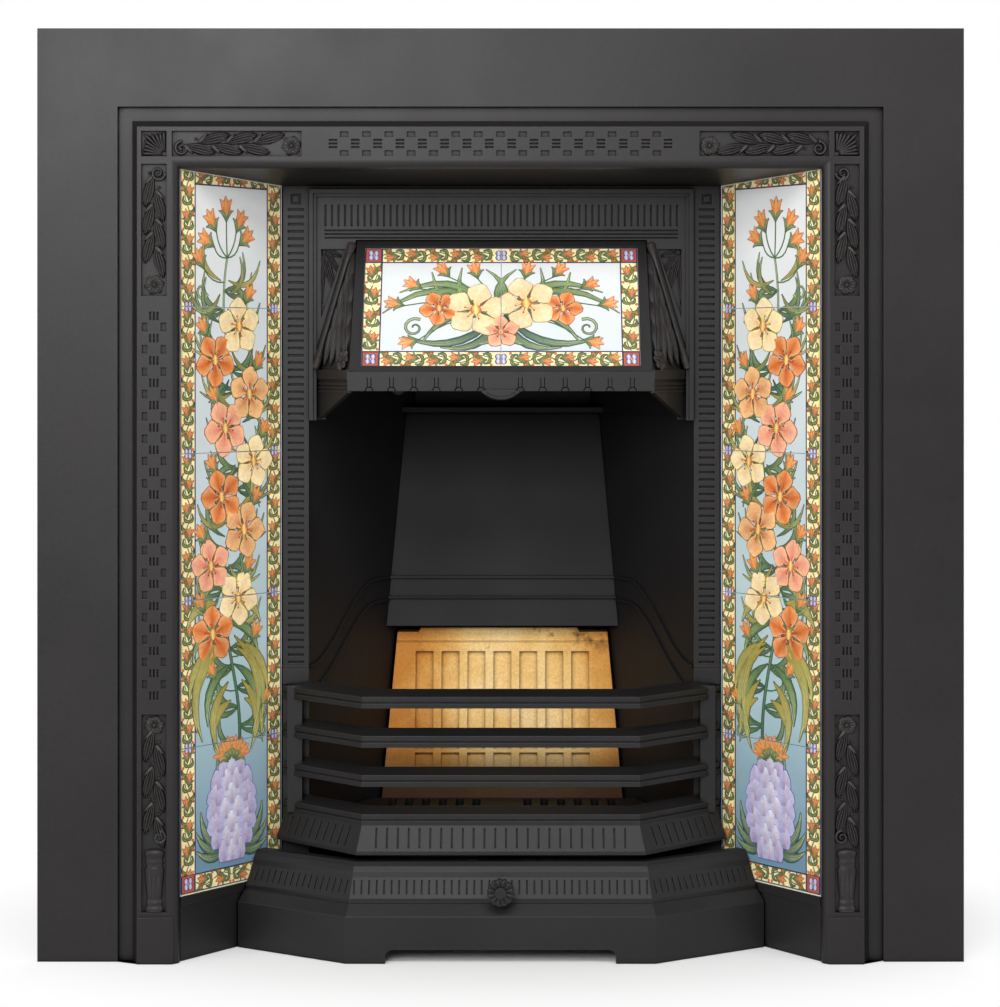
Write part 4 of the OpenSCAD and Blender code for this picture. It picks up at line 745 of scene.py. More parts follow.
COLUMN = [(53.5, 9.6), (57, 9.6), (58.5, 7.6), (61, 8.6), (63.5, 8.6), (65, 7.0), (68, 8.0), (84, 9.4),
          (97, 10.2), (99, 9.2), (101, 8.0), (103, 9.6), (105, 9.6), (107, 8.2), (110, 9.8), (114, 10.6),
          (116.5, 9.0), (118, 5.0)]
for side, label in ((-1, "left"), (1, "right")):
    x = side * STILE_X
    carve("upper_garland_" + label, ((x, 812), (x, 707)), (x, 699.5),
          (x - side * 4.0, 814.5, 7.6, mirrored(180, side), side))
    lances = [spot(x + 4.6 * k, 68, 90, 27, 3.4, 1.8, 0.02, PANEL_FLOOR - 2.6 + 0.5 * abs(k))
              for k in (-1, 0, 1)]
    carve("lower_garland_" + label, ((x, 240), (x, 119)), (x, 245.5),
          (x - side * 5.2, 130, 7.2, 90, side, 1.9), lances, [half_turned("column", x, COLUMN)])

# %% [markdown]
# ### Beside the hood
# The two sunk triangles beside the hood each hold one large fan leaf that opens from the outer
# corner. A round moulding runs down the slope next to them and covers the joint between two
# castings. The wings of the hood are carved all over with long feathered leaves that hang from
# the top, and a rosette fills the lower front corner.

# %% Fan leaves and round mouldings
SPANDREL_FLOOR, SURROUND_FACE = 119.85, 117.35
ROLL_HALF, ROLL_HIGH, ROLL_END = 5.2, 6.0, 2.0


def spandrel(side):
    palms = [spot(side * 193.5, 741.0, mirrored(turn, side), length, width, 3.0, 0.0, SPANDREL_FLOOR)
             for turn, length, width in ((272, 62, 7.5), (254, 46, 9.0), (232, 29, 8.5), (198, 21, 8.0))]
    seed = [spot(side * 191.5, 739.0, 0, 2.8, 2.8, 3.0, 0.0, SPANDREL_FLOOR - 0.8)]
    path = [(side * (160.6 + 40.6 * t), 749 - 137 * t) for t in (0, 0.01, 0.25, 0.5, 0.75, 0.99, 1)]
    widths, heights = ([ROLL_END] + [full] * 5 + [ROLL_END] for full in (ROLL_HALF, ROLL_HIGH))
    return [set_forms("fan", "palm", palms, IRON_INNER), set_forms("fan_seed", "berry", seed, IRON_INNER),
            ridge("roll", path, widths, heights, SURROUND_FACE)]


join("spandrel_fans", spandrel(-1) + spandrel(1), IRON_INNER)

# %% Carved wings of the hood
WING_TOP, WING_FRONT, WING_REAR = (156.0, 118.8, 750.0), (159.0, 35.4, 606.5), (198.3, 119.3, 606.5)


def wing_leaves(side):
    """Rows of hanging leaves on the slanting plane through the three corners of the wing."""
    top, front, rear = (place(side * x, y, z) for x, y, z in (WING_TOP, WING_FRONT, WING_REAR))
    out = (front - top).cross(rear - top).normalized() * side
    down = ((front + rear) / 2 - top).normalized()
    across = (front - rear).normalized()

    def on_wing(at, angle, length, width, height):
        points_to = Matrix.Rotation(math.radians(angle) * side, 3, out) @ down
        turn = Matrix((points_to, out.cross(points_to), out)).transposed()
        return at, tuple(turn.to_euler("XYZ")), (length, width, height)

    palms, tall = [], ((front + rear) / 2 - top).length
    for share, count in ((0.56, 4), (0.40, 3), (0.24, 2), (0.09, 1)):
        half = (front - rear).length / 2 * share * 0.82
        for k in range(count):
            aside = (2 * k + 1) / count - 1
            at = top + down * tall * share + across * aside * half
            palms.append(on_wing(at, -aside * 17, 62 - 14 * share, 15.5, 6.0))
    heart = front + (rear - front) * 0.17 + (top - front) * 0.10
    petals = [on_wing(heart + out * mm(1.4), 45 * k, 12.5, 9.5, 5.0) for k in range(8)]
    seed = [on_wing(heart + out * mm(2.4), 0, 3.6, 3.6, 4.4)]
    return [set_forms("wing_" + form, form, spots)
            for form, spots in (("palm", palms), ("petal", petals), ("berry", seed))]


join("wing_carving", wing_leaves(-1) + wing_leaves(1))

# %% [markdown]
# The small half-round tab in the middle of the lip of the hood has a raised rim, drawn here as one
# ridge along an arc.

# %% Raised rim of the damper tab
TAB_R, TAB_DROP, LIP_FOOT, TAB_FACE = 28.16, 9.4, 589.5, 32.42
RIM_INSET, RIM_HALF, RIM_HIGH = 1.8, 1.5, 1.8


def tab_rim():
    reach = TAB_R - RIM_INSET
    turns = [math.radians(t) for t in range(-45, 46, 9)]
    path = [(reach * math.sin(t), LIP_FOOT - TAB_DROP + TAB_R - reach * math.cos(t)) for t in turns]
    return ridge("rim", path, [RIM_HALF] * len(path), [RIM_HIGH] * len(path), TAB_FACE, IRON_INNER)


join("tab_rim", [tab_rim()], IRON_INNER)

# %% [markdown]
# ### Petals on the cover knob
# The knob of the ashpit cover is cast as a small rosette, so its face carries a ring of petals
# round the boss.

# %% Knob petals
KNOB_FACE, KNOB_Z, BOSS_R = -15.0, 74.0, 4.4
knob_ring = ring(0, KNOB_Z, 12, 15, BOSS_R, 8.8, 4.6, 1.5, 0.0, KNOB_FACE)
join("knob_petals", [set_forms("knob_ring", "ray", knob_ring, IRON_INNER)], IRON_INNER, "cover")

for form in FORMS.values():
    bpy.data.objects.remove(form)
print("carving done")

# %% [markdown]
# ## Painted tiles
# Tile painters work in raised coloured glaze: a dark outline is trailed first and keeps the
# colours apart, then each petal or leaf is flooded so that it stands up a little and shades
# from its edge to its middle. The painting here is built the same way. Every stroke is a thin
# closed pad a few tenths of a millimetre high, with its colours kept in an attribute, so light
# catches the edges of the glaze. The design is a plain one made for this model: a climbing
# stem with five-petalled blossoms, buds and scrolls inside a border of sprigs.

# %% Strokes of raised glaze


def mix(a, b, t):
    return tuple(p + (q - p) * t for p, q in zip(a, b))


NAVY, INK = srgb(52, 44, 96), srgb(40, 52, 50)
CREAM, BUTTER = srgb(250, 234, 178), srgb(246, 220, 132)
ORANGE, RUST, PEACH = srgb(226, 122, 52), srgb(176, 74, 34), srgb(250, 196, 138)
ROSE, BLUSH = srgb(214, 96, 78), srgb(246, 178, 150)
IVORY, STRAW = srgb(252, 232, 194), srgb(230, 184, 120)
GREEN, LIME, TEAL = srgb(74, 108, 66), srgb(190, 202, 142), srgb(30, 78, 76)
VIOLET, LILAC, MIST, FROST = srgb(104, 90, 150), srgb(176, 170, 212), srgb(216, 216, 240), srgb(236, 234, 244)
BRICK_RED, LEAF_GOLD = srgb(186, 92, 52), srgb(168, 150, 66)
BURNT, STEM_WIDE = mix(RUST, INK, 0.5), 0.8
PAD_RING, ROOT, CROWN = 5, -0.15, 0.10


class Painting:
    """Collects strokes drawn in tile millimetres: a across, b up, and a level over the tile."""

    def __init__(self):
        self.verts, self.faces, self.colours = [], [], []

    def pad(self, lines, colours):
        """Closed pad from lines of edge, middle, edge; each line gets two roots in the tile."""
        self.faces += skin(len(lines), PAD_RING, len(self.verts))
        for line, shade in zip(lines, colours):
            self.verts += line + [(*line[2][:2], ROOT), (*line[0][:2], ROOT)]
            self.colours += [shade[0], shade[1], shade[0], shade[0], shade[0]]

    def stroke(self, path, widths, level, base, tip=None, rim=None):
        """A stroke along a path: middle colours run from base to tip, its edges take the rim."""
        lines, shades = [], []
        for i, (a, b) in enumerate(path):
            run, w = heading(path, i), widths[i]
            left, right = (a - run.y * w, b + run.x * w), (a + run.y * w, b - run.x * w)
            lines.append([(*left, level), (a, b, level + CROWN * min(1, w / 2)), (*right, level)])
            middle = mix(base, tip or base, i / (len(path) - 1))
            shades.append((rim or middle, middle))
        self.pad(lines, shades)

    def outlined(self, path, widths, level, base, tip=None, rim=None, line=INK, thick=0.42):
        """A stroke over a slightly larger dark one, which stays visible as its outline."""
        first = Vector(path[0]) - (Vector(path[1]) - Vector(path[0])).normalized() * thick
        final = Vector(path[-1]) + (Vector(path[-1]) - Vector(path[-2])).normalized() * thick
        longer = [tuple(first)] + list(path[1:-1]) + [tuple(final)]
        self.stroke(longer, [w + thick for w in widths], level - 0.06, line)
        self.stroke(path, widths, level, base, tip, rim)

    def blade(self, a, b, angle, length, bow, widths, *look):
        """An outlined stroke of one bowed leaf or petal from its foot."""
        path = curve((a, b), polar(a, b, angle, length), bow, len(widths))
        self.outlined(path, widths, *look)
        return path

    def block(self, a0, b0, a1, b1, level, colour):
        """A flat rectangle of colour."""
        lines = [[(a, b, level) for a in (a0, (a0 + a1) / 2, a1)] for b in (b0, b1)]
        self.pad(lines, [(colour, colour)] * 2)

    def dot(self, a, b, radius, level, colour, rim=None):
        turns = [math.radians(t) for t in (-78, -45, 0, 45, 78)]
        self.stroke([(a, b + radius * math.sin(t)) for t in turns], [radius * math.cos(t) for t in turns],
                    level, colour, colour, rim or colour)

    def stamp(self, other, a, b, quarter):
        """Copies a small painting into this one, turned by quarter turns."""
        c, s = (1, 0, -1, 0)[quarter % 4], (0, 1, 0, -1)[quarter % 4]
        start = len(self.verts)
        self.verts += [(a + c * x - s * y, b + s * x + c * y, z) for x, y, z in other.verts]
        self.faces += [tuple(start + i for i in face) for face in other.faces]
        self.colours += other.colours


def curve(start, end, bow, steps=7):
    """Points from start to end, bowed sideways by a share of their distance."""
    s, e = Vector(start), Vector(end)
    side = Vector((-(e - s).y, (e - s).x))
    shares = [i / (steps - 1) for i in range(steps)]
    return [tuple(s + (e - s) * t + side * bow * 4 * t * (1 - t)) for t in shares]


def polar(a, b, angle, reach):
    return a + reach * math.cos(math.radians(angle)), b + reach * math.sin(math.radians(angle))


def full(steps, widest, at=0.5, point=0.06):
    """Half widths of a leaf or petal: widest where asked, pointed at both ends."""
    shares = [(i / (steps - 1)) ** (math.log(0.5) / math.log(at)) for i in range(steps)]
    return [max(widest * point, widest * math.sin(math.pi * t)) for t in shares]


print("stroke helpers ready")

# %% [markdown]
# ### Flowers and leaves
# A few motifs are enough: a leaf with a bent tip, a blossom of five round petals, a bud in its
# green cup, a small quatrefoil and a striped sprig for the border. Each one takes its place, its
# direction and its size, so the same hand seems to have painted them all.

# %% Motifs


def paint_leaf(art, a, b, angle, length, width, bow, level, dark=GREEN):
    path = art.blade(a, b, angle, length, bow, full(8, width, 0.45), level, dark, LIME,
                     mix(dark, INK, 0.15), INK, 0.5)
    art.stroke(path[1:7], [0.26] * 6, level + 0.11, mix(dark, INK, 0.4))


def paint_petal(art, a, b, angle, size, level, heart, body, edge):
    path = art.blade(a, b, angle, size * 0.94, 0.05, full(7, size * 0.43, 0.62, 0.18), level, heart, body,
                     mix(body, edge, 0.55), mix(heart, INK, 0.6), 0.62)
    art.stroke(path[1:5], [0.34, 0.3, 0.26, 0.14], level + 0.12, mix(heart, INK, 0.15), body)


def paint_blossom(art, a, b, size, turn, level, heart, body, edge):
    for k in (0, 2, 4, 1, 3):
        angle, high = turn + 72 * k, level + 0.02 * k
        paint_petal(art, *polar(a, b, angle, size * 0.10), angle, size, high, heart, body, edge)
        for lean in (-15, 15):
            vein = curve(polar(a, b, angle, size * 0.2), polar(a, b, angle + lean, size * 0.74), 0, 3)
            art.stroke(vein, [0.34, 0.3, 0.16], high + 0.11, mix(heart, INK, 0.2), body)
    art.dot(a, b, size * 0.2, level + 0.2, BUTTER, RUST)
    for k in range(6):
        tip = polar(a, b, turn + 30 + 60 * k, size * 0.38)
        art.stroke([(a, b), tip], [0.4, 0.34], level + 0.24, RUST)
        art.dot(*tip, 1.0, level + 0.26, mix(RUST, INK, 0.45))


def paint_bud(art, a, b, angle, size, level, body=ORANGE, tip=STRAW):
    for hand in (-1, 1):
        art.blade(a, b, angle + hand * 20, size, hand * -0.14, full(6, size * 0.2, 0.45), level, RUST, tip,
                  body, BURNT, 0.34)
    art.blade(a, b, angle, size * 1.08, 0, full(6, size * 0.2), level + 0.05, body, tip,
              mix(body, RUST, 0.3), BURNT, 0.3)
    for hand in (-1, 1):
        paint_leaf(art, a, b, angle + hand * 42, size * 0.62, size * 0.1, hand * -0.2, level + 0.1)


def paint_stalk(art, foot, tip, bow, steps, width, level):
    art.stroke(curve(foot, tip, bow, steps), [width] * steps, level, GREEN)


def paint_quatrefoil(art, a, b, size, level, ground=None):
    if ground:
        art.block(a - size, b - size, a + size, b + size, level - 0.1, NAVY)
        art.block(a - size + 0.9, b - size + 0.9, a + size - 0.9, b + size - 0.9, level - 0.06, ground)
    for k in range(4):
        at = polar(a, b, 45 + 90 * k, size * 0.46)
        art.dot(*at, size * 0.40, level, NAVY)
        art.dot(*at, size * 0.33, level + 0.05, MIST, VIOLET)
    art.dot(a, b, size * 0.15, level + 0.1, STRAW, RUST)


SPRIG, ON_GROUND = 25.4, 0.2


def paint_sprig(art, a, b, way):
    """One repeat of the border along b: a waving stem, a striped bud, curling leaves and seeds."""
    wave = [(a + way * 4.4 * math.sin(math.pi * t), b + SPRIG * (t - 0.5))
            for t in (0, 0.2, 0.4, 0.6, 0.8, 1)]
    art.stroke(wave, [0.6] * 6, ON_GROUND - 0.02, GREEN, TEAL)
    paint_bud(art, a - way * 0.8, b - 6.0, 90 + way * 9, 15.5, ON_GROUND + 0.06, RUST)
    for foot, angle, reach, bow in ((-10.5, 62, 9.5, -0.3), (-1.0, 34, 8.5, 0.34), (-9.0, 142, 9.0, 0.3),
                                    (7.0, 40, 9.0, -0.3)):
        art.blade(a + way * 1.6, b + foot, mirrored(angle, way), reach, way * bow, full(6, 1.8, 0.42, 0.25),
                  ON_GROUND, LEAF_GOLD, GREEN, mix(GREEN, TEAL, 0.5), INK, 0.5)
    for across, up in ((6.9, 5.5), (-6.8, -10.8)):
        art.dot(a + way * across, b + up, 1.7, ON_GROUND + 0.04, ORANGE, RUST)


def loose_sprig(way):
    """A sprig on its own, to be stamped where it lies across."""
    art = Painting()
    paint_sprig(art, 0, 0, way)
    return art


SPRIGS = (loose_sprig(1), loose_sprig(-1))
print("motifs: leaf, petal, blossom, bud, quatrefoil, sprig")

# %% [markdown]
# ### Laying the painting on the tiles
# A picture that runs over several tiles is painted on the loose tiles laid side by side, so the
# joints cut straight through it. Here the strokes are drawn over the whole panel and the pads
# are then cut along every joint, closed again and bent from flat millimetres into their place.

# %% Cut at the joints and set in place


def panel_mesh(art, windows):
    """Cuts the flat painting to each window (planes as (point, normal)) and joins what is left."""
    flat = bpy.data.meshes.new("flat")
    flat.from_pydata(art.verts, [], art.faces)
    shades = flat.color_attributes.new("paint", "FLOAT_COLOR", "POINT")
    shades.data.foreach_set("color", [c for colour in art.colours for c in colour])
    whole = bmesh.new()
    for planes in windows:
        part = bmesh.new()
        part.from_mesh(flat)
        for point, normal in planes:
            everything = part.verts[:] + part.edges[:] + part.faces[:]
            cut = bmesh.ops.bisect_plane(part, geom=everything, plane_co=point, plane_no=normal,
                                         clear_outer=True, dist=1e-5)
            rims = [e for e in cut["geom_cut"] if isinstance(e, bmesh.types.BMEdge)]
            bmesh.ops.holes_fill(part, edges=rims, sides=0)
        bmesh.ops.recalc_face_normals(part, faces=part.faces)
        piece = bpy.data.meshes.new("part")
        part.to_mesh(piece)
        part.free()
        whole.from_mesh(piece)
        bpy.data.meshes.remove(piece)
    bpy.data.meshes.remove(flat)
    return whole


def lay(name, art, windows, where, flip):
    """Lays a painting: where(a, b, level) gives the place of each point in the model."""
    shape = panel_mesh(art, windows)
    for vert in shape.verts:
        vert.co = where(*vert.co)
    if flip:
        bmesh.ops.reverse_faces(shape, faces=shape.faces)
    for face in shape.faces:
        face.smooth = False
    piece = finished(name, shape, PAINT)
    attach(piece, "insert")


TILE_BASE, TILE_PITCH, TILE_SIDE = 66.5, 152.8, 152.4
CHEEK_WIDE, SOFFIT_FALL, OPEN_TOP = 150.0, 9.0, 819.4
CHEEK_RUN, OPEN_HALF, CHEEK_FRONT = 92.8, 331.4, 1.5
CHEEK_DEEP = math.sqrt(CHEEK_WIDE ** 2 - CHEEK_RUN ** 2)
EDGE, JOINT, SOFFIT_GAP = 0.2, 0.35, 0.6


def on_cheek(side):
    """a runs from the front edge of the cheek to the back, b runs up from the hearth."""
    ux, uy = CHEEK_RUN / CHEEK_WIDE, CHEEK_DEEP / CHEEK_WIDE
    return lambda a, b, level: place(side * (OPEN_HALF - ux * a - uy * level),
                                     CHEEK_FRONT + uy * a - ux * level, b)


def cheek_windows():
    """One window a tile, kept a hair off the tile joints and the castings round the panel."""
    rows = []
    for k in range(5):
        low = TILE_BASE + k * TILE_PITCH + JOINT
        high = TILE_BASE + k * TILE_PITCH + TILE_SIDE - JOINT
        head = ((0, high, 0), (0, 1, 0))
        if k == 4:
            head = ((0, OPEN_TOP - SOFFIT_GAP, 0), Vector((SOFFIT_FALL / CHEEK_WIDE, 1, 0)).normalized())
        rows.append([((0, low, 0), (0, -1, 0)), ((EDGE, 0, 0), (-1, 0, 0)),
                     ((CHEEK_WIDE - EDGE, 0, 0), (1, 0, 0)), head])
    return rows


def paint():
    """Raised coloured glaze: its colours come from the paint attribute, brushed a little uneven."""
    net = new_material("coloured_glaze")
    laid = net.add("ShaderNodeVertexColor", layer_name="paint").outputs["Color"]
    brushed, broad = net.noise(240.0, 3.0, 0.6), net.noise(30.0, 2.0, 0.5)
    tone = net.span(net.math("ADD", brushed, broad), 0.7, 1.3, 0.70, 0.98)
    return net.shade({"Base Color": net.scaled(laid, tone), "Roughness": 0.3, "Coat Weight": 0.12,
                      "Coat Roughness": 0.08, "Normal": net.bump(0.2, 0.2, brushed)})


PAINT = paint()
print("cheek face is", round(CHEEK_DEEP, 2), "mm deep")

# %% [markdown]
# ### The cheek panels
# Each cheek is one tall picture. Cream borders with navy lines hold it on all four sides, with
# quatrefoils where tiles meet. Up the middle climbs a stem that sways from side to side, with
# large blossoms among bowed leaves, and at the foot it grows from a cone of violet scales.

# %% Cheek border
BAND, BAND_LEVEL, LINE_LEVEL, LINE_HALF = 20.5, 0.06, 0.14, 0.8
MIDDLE, SWAY, SWAY_FROM, SWAY_RUN = CHEEK_WIDE / 2, 12.0, 150.0, 48.5
LEFT, RIGHT = 11.0, CHEEK_WIDE - 11.0


def border_side(art, a, low, high, way):
    """Upright cream band with its navy lines, centred on a, and sprigs along it."""
    half = BAND / 2
    art.block(a - half, low, a + half, high, BAND_LEVEL, CREAM)
    art.block(a - half, low, a - half + 3.4, high, BAND_LEVEL + 0.005, BUTTER)
    for edge in (a - half, a + half):
        art.block(edge - LINE_HALF, low, edge + LINE_HALF, high, LINE_LEVEL, NAVY)
    for k in range(math.ceil((high - low) / SPRIG)):
        paint_sprig(art, a, low + (k + 0.5) * SPRIG, way if k % 2 else -way)


def border_across(art, b, low, high, line):
    """Level cream band between the upright ones, with sprigs lying along it."""
    a0, a1 = LEFT + BAND / 2 + LINE_HALF, RIGHT - BAND / 2 - LINE_HALF
    art.block(a0, low, a1, high, BAND_LEVEL, CREAM)
    art.block(a0, line - LINE_HALF, a1, line + LINE_HALF, LINE_LEVEL, NAVY)
    for k in range(4):
        art.stamp(SPRIGS[(k + 1) % 2], a0 + (k + 0.5) * (a1 - a0) / 4, b, 1 if k < 2 else -1)


def paint_border():
    art = Painting()
    low = TILE_BASE + 3.5
    for start, end, colour in ((0.4, 1.4, CREAM), (2.2, 3.0, NAVY)):
        art.block(0.6, TILE_BASE + start, CHEEK_WIDE - 0.6, TILE_BASE + end, 0.08, colour)
    for a, way in ((LEFT, 1), (RIGHT, -1)):
        border_side(art, a, low, OPEN_TOP, way)
        for k in range(1, 5):
            paint_quatrefoil(art, a, TILE_BASE + k * TILE_PITCH - 0.2, 7.6, 0.5)
        paint_quatrefoil(art, a, low + 8, 9.4, 0.5, BRICK_RED)
    border_across(art, low + 8, low - 1, low + 16, low + 16.4)
    border_across(art, OPEN_TOP - 5, OPEN_TOP - 14, OPEN_TOP, OPEN_TOP - 14)
    return art


print("border band is", BAND, "mm wide")

# %% Cheek painting
STEM_FOOT, STEM_TOP = 180, 730


def stem_at(b):
    return MIDDLE + SWAY * math.sin((b - SWAY_FROM) / SWAY_RUN)


def up_stem(first, last, step, hand):
    """Places up the stem, left and right by turns: number, hand, across and up."""
    for k, b in enumerate(range(first, last, step)):
        yield k, -hand if k % 2 else hand, stem_at(b), b


def paint_cheek():
    """Stem, leaves, buds and blossoms from the foot up, later strokes over earlier ones."""
    art = Painting()
    path = [(stem_at(b), b) for b in range(STEM_FOOT, STEM_TOP + 1, 11)]
    art.outlined(path, [2.0 - 1.0 * i / len(path) for i in range(len(path))], 0.16, GREEN, LIME, TEAL)
    for k, hand, a, b in up_stem(212, 716, 21, -1):
        for reach, turn, bow in ((50, 56, -0.30), (46, 26, -0.36), (40, -30, 0.30)):
            paint_leaf(art, a, b, mirrored(turn, hand), reach, 3.3, hand * bow, 0.2 + 0.02 * (k % 3),
                       mix(GREEN, TEAL, 0.15 if k % 3 else 0.6))
    for hand in (-1, 1):
        for start, turn, reach in ((366, -28, 50), (344, -38, 58), (322, -50, 74), (318, -66, 92),
                                   (330, -76, 110), (300, -62, 70), (282, -80, 76), (262, -58, 48)):
            foot = (stem_at(start) + hand * (3 + 11 * (start % 4) / 3), start)
            paint_leaf(art, *foot, mirrored(turn, hand), reach, 5.6, hand * 0.2, 0.3 + reach / 400,
                       LEAF_GOLD if start % 4 else GREEN)
    for _, hand, a, b in up_stem(222, 700, 52, 1):
        tendril = [(a + hand * (x + 8), b + y) for x, y in spiral(24, 4, 9, 200, 1.3, 1, 14)]
        art.outlined(tendril, [1.5 - 0.07 * i for i in range(14)], 0.24, LIME, GREEN, GREEN, INK, 0.36)
    for _, hand, a, b in up_stem(236, 706, 36, 1):
        tip = polar(a, b, 90 - hand * 66, 33)
        paint_stalk(art, (a, b), tip, -hand * 0.15, 5, STEM_WIDE, 0.36)
        paint_bud(art, *tip, 90 - hand * 30, 23, 0.44)
    for k, _, a, b in up_stem(346, 716, 15, 1):
        dark = (LEAF_GOLD, mix(GREEN, TEAL, 0.6), GREEN, mix(LEAF_GOLD, GREEN, 0.5))[k % 4]
        for hand in (-1, 1):
            turn = 66 - 41 * ((k + (hand > 0)) % 3)
            paint_leaf(art, a + hand * 6, b, mirrored(turn, hand), 52 - 4 * (k % 3), 2.7, -hand * 0.28,
                       0.36 + 0.02 * (k % 4), dark)
    glazes = ((RUST, ORANGE, PEACH), (STRAW, IVORY, BUTTER), (ROSE, BLUSH, PEACH), (RUST, PEACH, STRAW))
    for k, hand, a, b in up_stem(334, 690, 36, -1):
        paint_blossom(art, a + hand * 21, b, 29 - k % 3, 18 + 40 * k, 0.5, *glazes[k % 4])
    top = (stem_at(STEM_TOP), STEM_TOP)
    for turn, reach in ((92, 38), (64, 30), (121, 31), (38, 22), (150, 22)):
        tip = polar(*top, turn, reach)
        paint_stalk(art, top, tip, (turn - 90) / 300, 5, STEM_WIDE, 0.3)
        paint_bud(art, *tip, turn, 25, 0.4)
    paint_cone(art, 152, 58, 38)
    return art


print("stem sways", SWAY, "mm to each side")

# %% [markdown]
# The cone at the foot is laid row by row from the top, so that each scale covers the foot of the
# one above it, as the scales of a real cone do.

# %% The cone, and both cheeks laid


def paint_cone(art, b, tall, wide, rows=7):
    """A cone of overlapping violet scales that the stem grows from, with broad leaves round it."""
    for hand in (-1, 1):
        for turn, reach in ((2, 44), (26, 50), (48, 56), (66, 50)):
            paint_leaf(art, MIDDLE + hand * 8, b - 44, mirrored(turn, hand), reach, 5.4, -hand * 0.2, 0.22,
                       TEAL)
    for turn in (-52, -30, 30, 52, -12, 12):
        paint_bud(art, *polar(MIDDLE, b + tall * 0.72, 90 + turn, 6), 90 + turn, 24, 0.26)
    for row in range(rows):
        up = 1 - 2 * (row + 0.5) / rows
        half, count, high = wide * math.sqrt(1 - up * up), 3 + row % 2, 0.03 * row
        for k in range(count):
            share = (2 * k + 1) / count - 1
            a, foot, w = MIDDLE + share * half * 0.92, b + up * tall * 0.9 - 4, half / count * 1.2
            scale = [(a, foot - 10), (a, foot - 3), (a + share, foot + 5), (a + 2 * share, foot + 13)]
            pale = mix(FROST, LILAC, share ** 2)
            art.outlined(scale, [w * 0.7, w, w * 0.82, w * 0.16], 0.30 + high, mix(VIOLET, pale, 0.3), pale,
                         mix(pale, LILAC, 0.7), VIOLET, 0.8)
            art.stroke([(a, foot - 8), (a + share, foot + 6)], [0.3, 0.22], 0.44 + high, ROSE, STRAW)


cheek_art, border_art = paint_cheek(), paint_border()
for side, label in ((-1, "left"), (1, "right")):
    lay("cheek_painting_" + label, cheek_art, cheek_windows(), on_cheek(side), side > 0)
    lay("cheek_border_" + label, border_art, cheek_windows(), on_cheek(side), side > 0)

# %% [markdown]
# ### The hood panel
# The two tiles of the hood make one wide picture: a border with corner quatrefoils, and a spray
# that opens evenly to both sides from a pair of large blossoms.

# %% Hood painting
HOOD_TURN, HOOD_FOOT_Z = math.radians(30), 606.5
HOOD_LEN = 144.5 / math.cos(HOOD_TURN)
HOOD_FOOT_Y = CHEEK_FRONT + CHEEK_DEEP - 0.5 - HOOD_LEN * math.sin(HOOD_TURN)
WINDOW_HALF, WINDOW_HIGH, TILE_FACE = 147, 148, 2.3
WINDOW_LOW = HOOD_LEN - 8 - WINDOW_HIGH
HOOD_LOW, HOOD_HIGH, HOOD_HALF = WINDOW_LOW + EDGE, WINDOW_LOW + WINDOW_HIGH - EDGE, WINDOW_HALF - EDGE
HOOD_BAND, HOOD_LINE_HALF, SPRIG_STEP = 18.5, 0.7, 23.7
JOINT_HALF = 0.5


def on_hood(a, b, level):
    """a runs across from the middle, b runs up the slope from the foot of the hood."""
    deep, c, s = TILE_FACE - level, math.cos(HOOD_TURN), math.sin(HOOD_TURN)
    return place(a, HOOD_FOOT_Y + deep * c + b * s, HOOD_FOOT_Z - deep * s + b * c)


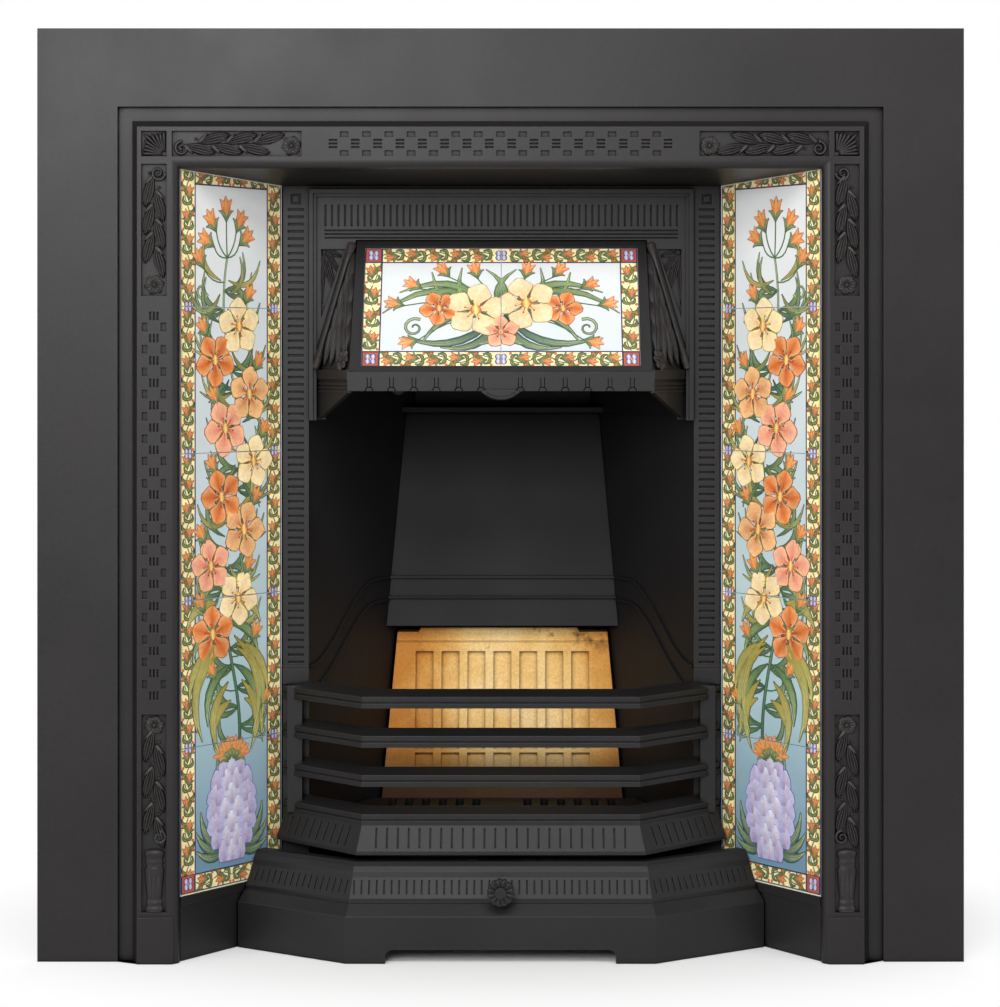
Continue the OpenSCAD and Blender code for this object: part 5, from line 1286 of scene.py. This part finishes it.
def paint_hood():
    art, half = Painting(), HOOD_BAND / 2
    rows = (HOOD_LOW + half, HOOD_HIGH - half)
    for b in rows:
        art.block(-HOOD_HALF, b - half, HOOD_HALF, b + half, BAND_LEVEL, CREAM)
        for edge in (b - half + 0.5, b + half):
            art.block(-HOOD_HALF, edge - HOOD_LINE_HALF, HOOD_HALF, edge + HOOD_LINE_HALF, LINE_LEVEL, NAVY)
        for hand in (-1, 1):
            for k in range(5):
                art.stamp(SPRIGS[k % 2], hand * (9 + SPRIG_STEP * (k + 0.5)), b, -hand)
        paint_quatrefoil(art, 0, b, 9.0, 0.42)
    low, high = HOOD_LOW + HOOD_BAND, HOOD_HIGH - HOOD_BAND
    for hand in (-1, 1):
        a = hand * (HOOD_HALF - half)
        art.block(a - half, low, a + half, high, BAND_LEVEL, CREAM)
        for edge in (a - half, a + half):
            art.block(edge - HOOD_LINE_HALF, HOOD_LOW, edge + HOOD_LINE_HALF, HOOD_HIGH, LINE_LEVEL, NAVY)
        for k in range(4):
            paint_sprig(art, a, low + (k + 0.5) * (high - low) / 4, 1 if k % 2 else -1)
        for b in rows:
            paint_quatrefoil(art, a, b, half - 0.4, 0.42, BRICK_RED)
    paint_spray(art, (HOOD_LOW + HOOD_HIGH) / 2)
    return art


def paint_spray(art, b):
    """Leaves and buds to both sides, then a scroll and two blossoms each, and one in the middle."""
    for hand in (-1, 1):
        for turn, reach, width, bow in ((15, 108, 4.4, 0.22), (37, 88, 4.2, -0.24), (-15, 104, 4.6, -0.2),
                                        (-34, 72, 4.8, -0.24), (57, 70, 3.8, -0.28), (-58, 44, 4.6, -0.26),
                                        (1, 122, 4.0, 0.24), (78, 58, 3.4, 0.24), (-24, 88, 4.2, 0.2)):
            paint_leaf(art, hand * 4, b - 10, mirrored(turn, hand), reach, width, hand * bow, 0.2,
                       TEAL if turn < 0 else GREEN)
        foot = (hand * 8, b - 12)
        for turn, reach in ((24, 84), (8, 96), (-20, 84), (46, 68), (70, 50)):
            angle = mirrored(turn, hand)
            tip = polar(*foot, angle, reach)
            paint_stalk(art, foot, tip, hand * 0.1, 6, 0.7, 0.24)
            paint_bud(art, *tip, angle + hand * 6, 21, 0.34, ORANGE, PEACH)
        paint_blossom(art, hand * 66, b - 2, 20, 90 - hand * 24, 0.52, RUST, ORANGE, PEACH)
        tendril = [(hand * x, y) for x, y in spiral(92, b - 26, 12, 120, 1.3, -1, 16)]
        art.outlined(tendril, [1.7 - 0.07 * i for i in range(16)], 0.22, LIME, GREEN, TEAL, INK, 0.3)
        paint_blossom(art, hand * 27, b + 4 * hand, 31, 90 + hand * 14, 0.6, STRAW, IVORY, STRAW)
    paint_blossom(art, 0, b - 31, 19, 90, 0.66, ROSE, BLUSH, PEACH)


rise = [((0, HOOD_LOW, 0), (0, -1, 0)), ((0, HOOD_HIGH, 0), (0, 1, 0))]
hood_windows = [rise + [((hand * JOINT_HALF, 0, 0), (-hand, 0, 0)), ((hand * HOOD_HALF, 0, 0), (hand, 0, 0))]
                for hand in (1, -1)]
lay("hood_painting", paint_hood(), hood_windows, on_hood, True)
